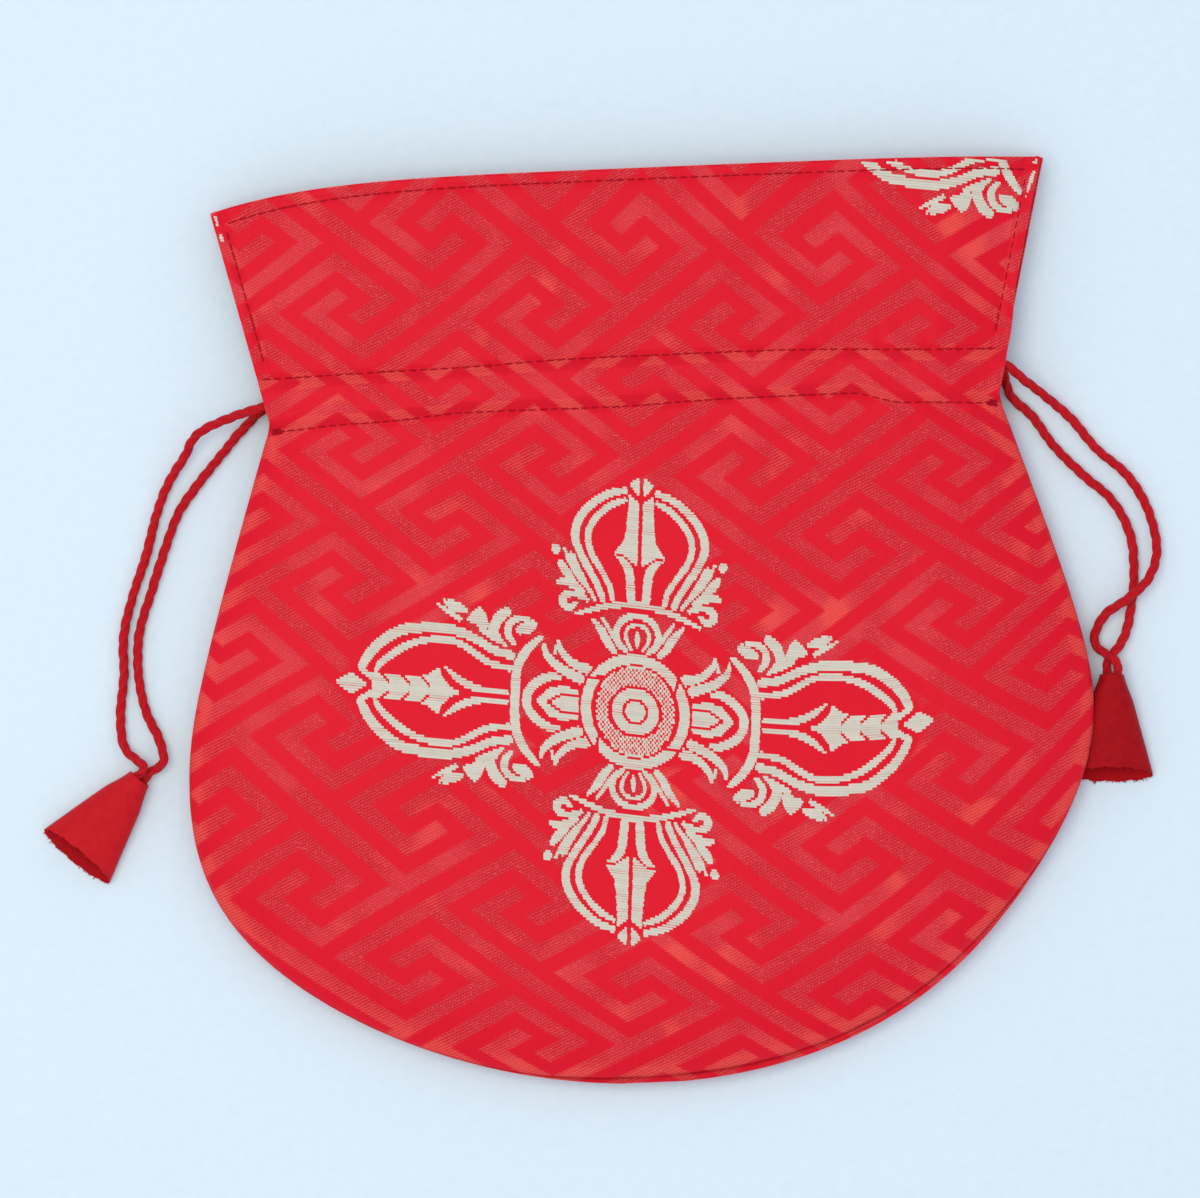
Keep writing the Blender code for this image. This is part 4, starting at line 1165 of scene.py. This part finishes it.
def weft_runs(canvas, centre):
    """The stretches of each weft thread that float on the face of the cloth."""
    runs = []
    for q, covered in zip(canvas.up, canvas.covered):
        if not covered.any():
            continue
        x, y = figure_place(centre, canvas.across, q)
        shown = covered & inside_panel(x, y, 0.35)
        change = np.flatnonzero(np.diff(np.concatenate([[0], shown.astype(int), [0]])))
        for start, end in change.reshape(-1, 2):
            first = canvas.across[start] + CHANCE.uniform(-0.09, 0.09)
            last = canvas.across[end - 1] + CHANCE.uniform(-0.09, 0.09)
            if last - first > 0.3:
                runs.append((first, last, q))
    return runs


def woven_figure(name, canvas, centre, finish):
    """The cream weft that floats on the brocade's face, one closed ribbon for each float."""
    runs = weft_runs(canvas, centre)
    stations = []
    for first, last, q in runs:
        count = max(int(math.ceil((last - first) / FLOAT_STEP)), 2) + 1
        stations.append(np.linspace(first, last, count))
    p = np.concatenate(stations)
    q = np.concatenate([np.full(len(s), run[2]) for s, run in zip(stations, runs)])
    x, y = figure_place(centre, p, q)
    z, _, _ = front_surface((x - X_SHIFT)[None, :], (y - Y_SHIFT)[None, :])
    z = z[0]
    points = []
    faces = []
    shade = []
    start = 0
    for s in stations:
        count = len(s)
        wide = CHANCE.random() < WIDE_FLOATS
        width = WEFT_PITCH * (WIDE_WIDTH if wide else CHANCE.uniform(*NARROW_WIDTHS))
        crown = CHANCE.uniform(*FLOAT_CROWNS)
        tone = CHANCE.random()
        base = len(points)
        for k in range(count):
            i = start + k
            end = 0.35 if k in (0, count - 1) else 1.0
            for aside, lift in ((-1.0, -0.04), (-0.75, crown * 0.9), (0.75, crown), (1.0, -0.04)):
                lift = lift * end if lift > 0 else lift
                points.append((x[i], y[i] + aside * width, z[i] + lift))
                shade.append(tone)
        for k in range(count - 1):
            a = base + 4 * k
            for j in range(4):
                n = (j + 1) % 4
                faces.append((a + j, a + 4 + j, a + 4 + n, a + n))
        faces.append([base + j for j in range(4)])
        faces.append([base + 4 * (count - 1) + j for j in (3, 2, 1, 0)])
        start += count
    co = np.array(points)
    piece = mesh_piece(name, co * MM, faces, finish, 75.0)
    store(piece, "thread_tone", shade)
    return piece


def sine_ribs(tree, value, pitch, power=1.0):
    """Ribs from 0 to 1, one for each pitch of a value in millimetres."""
    turned = node(tree, "Math", TIMES, {0: value, 1: 2 * math.pi / pitch})
    wave = node(tree, "Math", {"operation": "SINE"}, {0: turned})
    lifted = node(tree, "Math", TIMES_PLUS, {0: wave, 1: 0.5, 2: 0.5})
    return node(tree, "Math", {"operation": "POWER"}, {0: lifted, 1: power})


def laid_over(tree, colour, *layers):
    """A colour with others laid over it in turn, each by its share."""
    for share, over in layers:
        mixed = node(tree, "Mix", {"data_type": "RGBA"}, {0: share, 6: colour, 7: over})
        colour = mixed.outputs[2]
    return colour


def surface(tree, shader, colour, noise, roughness, height, strength, depth):
    """Give a shader its colour, its range of roughness and a fine relief this deep."""
    rough = node(tree, "MapRange", {}, {0: noise, 3: roughness[0], 4: roughness[1]})
    bump = node(tree, "Bump", {}, {"Strength": strength, "Distance": depth * MM, "Height": height})
    connect(tree, shader, {"Base Color": colour, "Roughness": rough, "Normal": bump})


def fret_mask(tree, s, t):
    """1 on the bars of the woven key fret and 0 on the ground between them."""
    nearest = None
    # Half of one figure, as boxes: the middle of each and half its size, in fret steps
    h = FRET_BAR
    boxes = [((0.0, 0.0), (h, 3.5 + h)), ((0.0, 3.5), (3.0 + h, h)),
             ((3.0, 2.5), (h, 1.0 + h)), ((2.5, 1.5), (0.5 + h, h))]
    for shift in (0.0, FRET_REPEAT / 2):
        sides = []
        for value in (s, t):
            moved = node(tree, "Math", LESS, {0: value, 1: shift})
            wrapped = node(tree, "Math", {"operation": "WRAP"},
                           {0: moved, 1: FRET_REPEAT / 2, 2: -FRET_REPEAT / 2})
            sides.append(node(tree, "Math", {"operation": "ABSOLUTE"}, {0: wrapped}))
        place = node(tree, "CombineXYZ", {}, {0: sides[0], 1: sides[1]})
        for middle, half in boxes:
            away = node(tree, "VectorMath", LESS,
                        {0: place, 1: (*middle, 0.0)})
            away = node(tree, "VectorMath", {"operation": "ABSOLUTE"}, {0: away})
            away = node(tree, "VectorMath", LESS, {0: away, 1: (*half, 0.0)})
            parts = node(tree, "SeparateXYZ", {}, {0: away})
            away = node(tree, "Math", {"operation": "MAXIMUM"},
                        {0: parts.outputs[0], 1: parts.outputs[1]})
            if nearest is not None:
                away = node(tree, "Math", {"operation": "MINIMUM"}, {0: nearest, 1: away})
            nearest = away
    return node(tree, "MapRange", {}, {0: nearest, 1: 0.04, 2: -0.04})


def brocade_finish():
    """Rayon satin brocade woven in one red, with a key fret that only the weave shows.

    The ground is a warp satin: long smooth threads side by side, glossy and saturated.
    The fret's bars turn the weft up in a coarse twill, which scatters the light, so they
    look paler, duller and ribbed, and their edges step by whole threads.
    """
    finish, tree, shader = finish_of("brocade", {
        "Specular IOR Level": 0.42, "Specular Tint": "ff7068", "IOR": 1.46})
    threads = node(tree, "Attribute", {"attribute_name": "threads_mm"}).outputs["Vector"]
    fret = node(tree, "Attribute", {"attribute_name": "fret_steps"}).outputs["Vector"]
    # The fret changes only at whole threads of warp and weft
    snapped = node(tree, "VectorMath", {"operation": "SNAP"},
                   {0: threads, 1: (WARP_PITCH, WEFT_PITCH, 1.0)})
    moved = node(tree, "VectorMath", LESS, {0: snapped, 1: threads})
    steps = []
    own = node(tree, "SeparateXYZ", {}, {0: fret})
    for row, place in zip(fret_matrix(), own.outputs):
        per_mm = (row[0] + WEFT_TILT * row[1], WARP_TILT * row[0] + row[1], 0.0)
        by = node(tree, "VectorMath", {"operation": "DOT_PRODUCT"}, {0: moved, 1: per_mm})
        steps.append(node(tree, "Math", {"operation": "ADD"}, {0: place, 1: by.outputs["Value"]}))
    bars = fret_mask(tree, steps[0], steps[1])
    bars = node(tree, "MapRange", {}, {0: own.outputs[2], 3: bars, 4: 0.0})

    parts = node(tree, "SeparateXYZ", {}, {0: threads})
    across, up = parts.outputs[0], parts.outputs[1]
    uneven = node(tree, "TexNoise", {"noise_dimensions": "3D"},
                  {"Vector": threads, "Scale": 0.9, "Detail": 3.0}).outputs[0]
    drawn = node(tree, "Mapping", {}, {0: threads, 3: (3.1, 0.22, 0.3)})
    streak = node(tree, "TexNoise", {}, {"Vector": drawn, "Scale": 1.0, "Detail": 3.0}).outputs[0]
    wide = node(tree, "TexNoise", {}, {"Vector": threads, "Scale": 0.06, "Detail": 2.0}).outputs[0]
    warp_lines = sine_ribs(tree, across, WARP_PITCH)
    weft_lines = sine_ribs(tree, up, WEFT_PITCH, 1.6)
    slanted = node(tree, "Math", TIMES_PLUS, {0: across, 1: -0.62, 2: up})
    twill = sine_ribs(tree, slanted, TWILL_PITCH, 1.4)

    # The twill's floats are short, so each rib is a row of small bright grains
    grains = sine_ribs(tree, across, 0.6, 1.2)
    grains = node(tree, "Math", TIMES_PLUS, {0: grains, 1: 0.55, 2: 0.35})
    grains = node(tree, "Math", TIMES, {0: grains, 1: twill})
    patchy = node(tree, "MapRange", {}, {0: wide, 1: 0.48, 2: 0.66, 4: 0.35})
    fleck = node(tree, "TexNoise", {}, {"Vector": threads, "Scale": 2.2, "Detail": 2.0}).outputs[0]
    fleck = node(tree, "MapRange", {}, {0: fleck, 1: 0.52, 2: 0.75})
    mottled = node(tree, "Math", TIMES, {0: weft_lines, 1: fleck})
    # Painted glints: bars are painted brighter here and there, and where the cloth curves down at
    # edges and folds
    painted_glint = node(tree, "TexNoise", {}, {"Vector": threads, "Scale": 0.085, "Detail": 1.0})
    painted_glint = node(tree, "MapRange", {}, {0: painted_glint, 1: 0.56, 2: 0.74, 4: 0.8})
    level = node(tree, "NewGeometry").outputs["Normal"]
    level = node(tree, "SeparateXYZ", {}, {0: level}).outputs[2]
    level = node(tree, "Math", {"operation": "ABSOLUTE"}, {0: level})
    slope_glint = node(tree, "MapRange", {}, {0: level, 1: 0.993, 2: 0.92, 4: 0.7})
    painted_glint = node(tree, "Math", {"operation": "MAXIMUM"}, {0: slope_glint, 1: painted_glint})
    painted_glint = node(tree, "Math", TIMES_PLUS, {0: twill, 1: 0.4, 2: painted_glint})
    painted_glint = node(tree, "MapRange", {}, {0: painted_glint, 1: 0.4, 2: 1.4})
    # The raised bars' last layer, f4574e, is the painted glint
    ground = laid_over(tree, "ce0f27", (streak, "e41a33"), (wide, "dd172f"))
    raised = laid_over(tree, "c81f2f", (grains, "e2434e"), (patchy, "ee505a"),
                       (mottled, "ee6065"), (painted_glint, "f4574e"))
    colour = laid_over(tree, ground, (bars, raised))

    grain = node(tree, "MapRange", {}, {0: uneven, 3: -0.05, 4: 0.07})
    rough = node(tree, "MapRange", {}, {0: bars, 3: 0.40, 4: 0.62})
    rough = node(tree, "Math", {"operation": "ADD"}, {0: rough, 1: grain})

    smooth_height = node(tree, "Math", TIMES, {0: warp_lines, 1: 0.12})
    smooth_height = node(tree, "Math", TIMES_PLUS,
                         {0: streak, 1: 0.5, 2: smooth_height})
    coarse = node(tree, "Math", TIMES_PLUS, {0: twill, 1: 0.7, 2: weft_lines})
    height = node(tree, "Mix", {}, {0: bars, 2: smooth_height, 3: coarse})
    bump = node(tree, "Bump", {}, {"Strength": 0.45, "Distance": 0.07 * MM, "Height": height})
    connect(tree, shader, {"Base Color": colour, "Roughness": rough, "Normal": bump})
    return finish


def plain_cloth_finish(name, dark, light, pitch, roughness, shine, attribute):
    """A plain-woven cloth: warp and weft cross thread by thread, in soft small checks.

    The lining is cotton, matt with short fibres. The cones are cut from a thin satin,
    smoother, with long threads that gloss along the cone.
    """
    finish, tree, shader = finish_of(name, {
        "Specular IOR Level": shine, "Specular Tint": "ff7a70"})
    place = node(tree, "Attribute", {"attribute_name": attribute}).outputs["Vector"]
    parts = node(tree, "SeparateXYZ", {}, {0: place})
    one = sine_ribs(tree, parts.outputs[0], pitch, 1.2)
    two = sine_ribs(tree, parts.outputs[1], pitch * 1.15, 1.2)
    crossing = node(tree, "Math", TIMES, {0: one, 1: two})
    noise = node(tree, "TexNoise", {}, {"Vector": place, "Scale": 0.7, "Detail": 4.0}).outputs[0]
    shade = node(tree, "Math", TIMES_PLUS, {0: crossing, 1: 0.45, 2: noise})
    # The cones' inner faces, seen in their mouths, are painted darker as the shade inside the cones
    inside_shade = node(tree, "Attribute", {"attribute_name": "cone_inside_shade"}).outputs["Fac"]
    colour = laid_over(tree, dark, (shade, light), (inside_shade, "a80c18"))
    surface(tree, shader, colour, noise, (roughness - 0.07, roughness + 0.08), crossing, 0.3, 0.05)
    return finish


def thread_finish(name, dark, light):
    """Spun sewing thread: two fine plies twisted together, softly glossy, a little hairy."""
    finish, tree, shader = finish_of(name, {
        "Specular IOR Level": 0.15, "Specular Tint": "ff6058"})
    place = node(tree, "TexCoord").outputs["Object"]
    scaled = node(tree, "VectorMath", {"operation": "SCALE"}, {0: place, "Scale": 1000.0})
    parts = node(tree, "SeparateXYZ", {}, {0: scaled})
    slanted = node(tree, "Math", {"operation": "ADD"}, {0: parts.outputs[0], 1: parts.outputs[1]})
    # The thread's real twist repeats every 0.25 mm and is drawn twice as coarse
    twist = sine_ribs(tree, slanted, 0.5)
    noise = node(tree, "TexNoise", {}, {"Vector": scaled, "Scale": 2.5, "Detail": 3.0}).outputs[0]
    shade = node(tree, "Math", TIMES_PLUS, {0: twist, 1: 0.4, 2: noise})
    colour = laid_over(tree, dark, (shade, light))
    surface(tree, shader, colour, noise, (0.5, 0.7), twist, 0.5, 0.05)
    return finish


def cord_finish():
    """Rayon drawstring cord, three plies of many fine filaments twisted the other way.

    Filaments lie nearly straight along the cord and gloss softly; the grooves between
    the plies stay dark.
    """
    finish, tree, shader = finish_of("twisted_cord", {
        "Specular IOR Level": 0.25, "Specular Tint": "ff7a70"})
    place = node(tree, "Attribute", {"attribute_name": "ply_place"}).outputs["Vector"]
    parts = node(tree, "SeparateXYZ", {}, {0: place})
    round_ply = node(tree, "Math", {"operation": "ARCTAN2"},
                     {0: parts.outputs[1], 1: parts.outputs[0]})
    shares = []
    # Yarns of the ply, and the filaments in each
    for turns, pitch in ((5, 3.6), (13, 1.7)):
        along = node(tree, "Math", TIMES,
                     {0: parts.outputs[2], 1: 2 * math.pi / pitch})
        angle = node(tree, "Math", TIMES_PLUS,
                     {0: round_ply, 1: float(turns), 2: along})
        wave = node(tree, "Math", {"operation": "SINE"}, {0: angle})
        shares.append(node(tree, "Math", TIMES_PLUS, {0: wave, 1: 0.5, 2: 0.5}))
    noise = node(tree, "TexNoise", {}, {"Vector": place, "Scale": 0.8, "Detail": 4.0}).outputs[0]
    ribs = node(tree, "Math", TIMES_PLUS,
                {0: shares[0], 1: 0.6, 2: shares[1]})
    shade = node(tree, "Math", TIMES_PLUS, {0: ribs, 1: 0.35, 2: noise})
    colour = laid_over(tree, "960c18", (shade, "cc1c28"))
    surface(tree, shader, colour, noise, (0.42, 0.6), ribs, 0.6, 0.1)
    return finish


def weft_finish():
    """Cream floss silk laid in as extra weft: flat untwisted filaments, softly lustrous."""
    finish, tree, shader = finish_of("cream_weft", {
        "Specular IOR Level": 0.2, "IOR": 1.5})
    place = node(tree, "TexCoord").outputs["Object"]
    # Filaments run along the weft, so the noise is drawn out along X
    drawn = node(tree, "Mapping", {}, {0: place, 3: (900.0, 9000.0, 4000.0)})
    fibres = node(tree, "TexNoise", {}, {"Vector": drawn, "Scale": 1.0, "Detail": 4.0}).outputs[0]
    scaled = node(tree, "VectorMath", {"operation": "SCALE"}, {0: place, "Scale": 1000.0})
    soft = node(tree, "TexNoise", {}, {"Vector": scaled, "Scale": 0.5, "Detail": 3.0}).outputs[0]
    tone = node(tree, "Attribute", {"attribute_name": "thread_tone"}).outputs["Fac"]
    mixed = node(tree, "Math", TIMES_PLUS, {0: tone, 1: 0.25, 2: fibres})
    mixed = node(tree, "Math", TIMES_PLUS, {0: soft, 1: 0.4, 2: mixed})
    share = node(tree, "MapRange", {}, {0: mixed, 1: 0.4, 2: 1.1})
    colour = laid_over(tree, "c6c0b3", (share, "dcd7cb"))
    surface(tree, shader, colour, fibres, (0.5, 0.75), fibres, 0.25, 0.04)
    return finish


def floor_finish():
    """Pale cotton cloth on a table: matt, with a soft short nap."""
    finish, tree, shader = finish_of("pale_floor", {
        "Specular IOR Level": 0.1, "Roughness": 0.9})
    place = node(tree, "TexCoord").outputs["Object"]
    scaled = node(tree, "VectorMath", {"operation": "SCALE"}, {0: place, "Scale": 1000.0})
    nap = node(tree, "TexNoise", {}, {"Vector": scaled, "Scale": 0.45, "Detail": 5.0}).outputs[0]
    colour = laid_over(tree, "d7eafa", (nap, "e1f1fe"))
    bump = node(tree, "Bump", {}, {"Strength": 0.25, "Distance": 0.25 * MM, "Height": nap})
    connect(tree, shader, {"Base Color": colour, "Normal": bump})
    return finish


BROCADE_FINISH = brocade_finish()
LINING_FINISH = plain_cloth_finish(
    "cotton_lining", "8e1019", "b5202a", 0.6, 0.85, 0.12, "threads_mm")
LEFT_CONE_FINISH = plain_cloth_finish(
    "left_cone_satin", "ae121c", "ce212b", 0.45, 0.55, 0.22, "cone_mm")
# The right cone is the same satin as the left, painted darker as shade from the pouch beside it
RIGHT_CONE_SHADED_FINISH = plain_cloth_finish(
    "right_cone_satin_shaded", "8a0b14", "b0161f", 0.45, 0.55, 0.18, "cone_mm")
THREAD_FINISH = thread_finish("sewing_thread", "8c0c1c", "b01628")
HIDDEN_THREAD_FINISH = thread_finish("seam_thread", "7c0d18", "a81d28")
CORD_FINISH = cord_finish()
WEFT_FINISH = weft_finish()

front_panel = cloth_sheet("front_brocade", front_layer(PANEL_STEP, 0.0),
                          front_layer(PANEL_STEP, BROCADE), BROCADE_FINISH, 0.2)
back_panel = cloth_sheet("back_brocade", back_layer(PANEL_STEP, BROCADE),
                         back_layer(PANEL_STEP, 0.0), BROCADE_FINISH, 0.2)
channel = (CORD_DIAMETER + GAP, LINING_MOUTH_INSET)
front_lining = cloth_sheet("front_cotton_lining", front_layer(LINING_STEP, BROCADE + GAP, *channel),
                           front_layer(LINING_STEP, STACK, *channel), LINING_FINISH, 0.1)
back_lining = cloth_sheet("back_cotton_lining", back_layer(LINING_STEP, STACK, *channel, SEAM_TURN),
                          back_layer(LINING_STEP, BROCADE + GAP, *channel, SEAM_TURN),
                          LINING_FINISH, 0.1)
for piece, cad_node, lies_on in (
        (front_panel, "front_panel", ["front_cotton_lining"]),
        (back_panel, "back_panel", ["floor"]),
        (front_lining, "front_lining", ["back_cotton_lining"]),
        (back_lining, "back_lining", ["back_brocade"])):
    cloth_coordinates(piece)
    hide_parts(cad_node)

for side, cone_at, cone_to, fronts, backs, cone_finish in (
        ("left", LEFT_CONE_AT, LEFT_CONE_TO, LEFT_FRONT_STRAND, LEFT_BACK_STRAND,
         LEFT_CONE_FINISH),
        ("right", RIGHT_CONE_AT, RIGHT_CONE_TO, RIGHT_FRONT_STRAND, RIGHT_BACK_STRAND,
         RIGHT_CONE_SHADED_FINISH)):
    way = -1.0 if side == "left" else 1.0
    cone = cone_of_cloth(side + "_cloth_cone", cone_at, cone_to, cone_finish, 1.0 + way)
    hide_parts(side + "_cone_end")
    route = drawstring_route(way, fronts, backs, cone_at, cone_to)
    string, path, run = twisted_cord(side + "_twisted_drawstring", route, CORD_FINISH)
    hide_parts(side + "_drawstring")
    knot = bpy.data.objects[side + "_end_knot"]
    for held in knot.material_slots:
        held.material = CORD_FINISH
for held in bpy.data.objects["body_seam_thread"].material_slots:
    held.material = HIDDEN_THREAD_FINISH

for face, on_front in (("front", True), ("back", False)):
    sink = 0.22 if on_front else -0.22
    for row, y in (("lower", LOWER_ROW_Y), ("upper", UPPER_ROW_Y)):
        sewn = stitching_piece(f"{face}_{row}_stitches", [casing_row(y, on_front)], sink,
                               THREAD_FINISH)
        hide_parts(f"{face}_{row}_casing_stitching")
    sewn = stitching_piece(face + "_flap_stitches", flap_lines(on_front), 0.2, THREAD_FINISH)
    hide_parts(face + "_flap_topstitching")

mouth_tacks("mouth_tacks", THREAD_FINISH)

FIGURE = figure_plan()
figure = woven_figure("double_vajra_floats", FIGURE, FIGURE_CENTRE, WEFT_FINISH)
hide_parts("double_vajra_weave")
woven_figure("right_corner_floats", FIGURE, UPPER_RIGHT_FIGURE, WEFT_FINISH)
flecks = Canvas()
for corners in LEFT_EDGE_FLECKS:
    flecks.fill(corners)
woven_figure("left_edge_floats", flecks, LEFT_EDGE_AT, WEFT_FINISH)

# Plain floor, a soft sky and one large soft lamp, nearly overhead and a little to the left
floor_mesh = bpy.data.meshes.new("floor")
corners = [(x * FLOOR_HALF, y * FLOOR_HALF, 0.0) for x, y in ((-1, -1), (1, -1), (1, 1), (-1, 1))]
floor_mesh.from_pydata(corners, [], [(0, 1, 2, 3)])
floor_mesh.materials.append(floor_finish())
floor = linked("floor", floor_mesh)
floor.location.z = CAD_BOX[0][2] - 0.1 * MM

world = bpy.data.worlds.new("soft_sky")
world.use_nodes = True
connect(world.node_tree, world.node_tree.nodes["Background"],
        {"Color": SKY_COLOUR, "Strength": SKY_STRENGTH})
bpy.context.scene.world = world

lamp_data = bpy.data.lights.new("soft_lamp", "AREA")
lamp_data.shape = "DISK"
lamp_data.size = LAMP_SIZE
lamp_data.energy = LAMP_POWER
lamp_data.color = LAMP_COLOUR
lamp = linked("soft_lamp", lamp_data)
lamp.location = LAMP_AT
lamp.rotation_euler = (-lamp.location).to_track_quat("-Z", "Y").to_euler()

camera_data = bpy.data.cameras.new("overhead")
camera_data.lens = CAMERA_LENS
camera_data.sensor_width = CAMERA_SENSOR
camera = linked("overhead", camera_data)
camera.location = CAMERA_AT
camera.rotation_euler = (0.0, 0.0, math.radians(CAMERA_TURN))
bpy.context.scene.camera = camera
bpy.context.scene.view_settings.view_transform = "Standard"
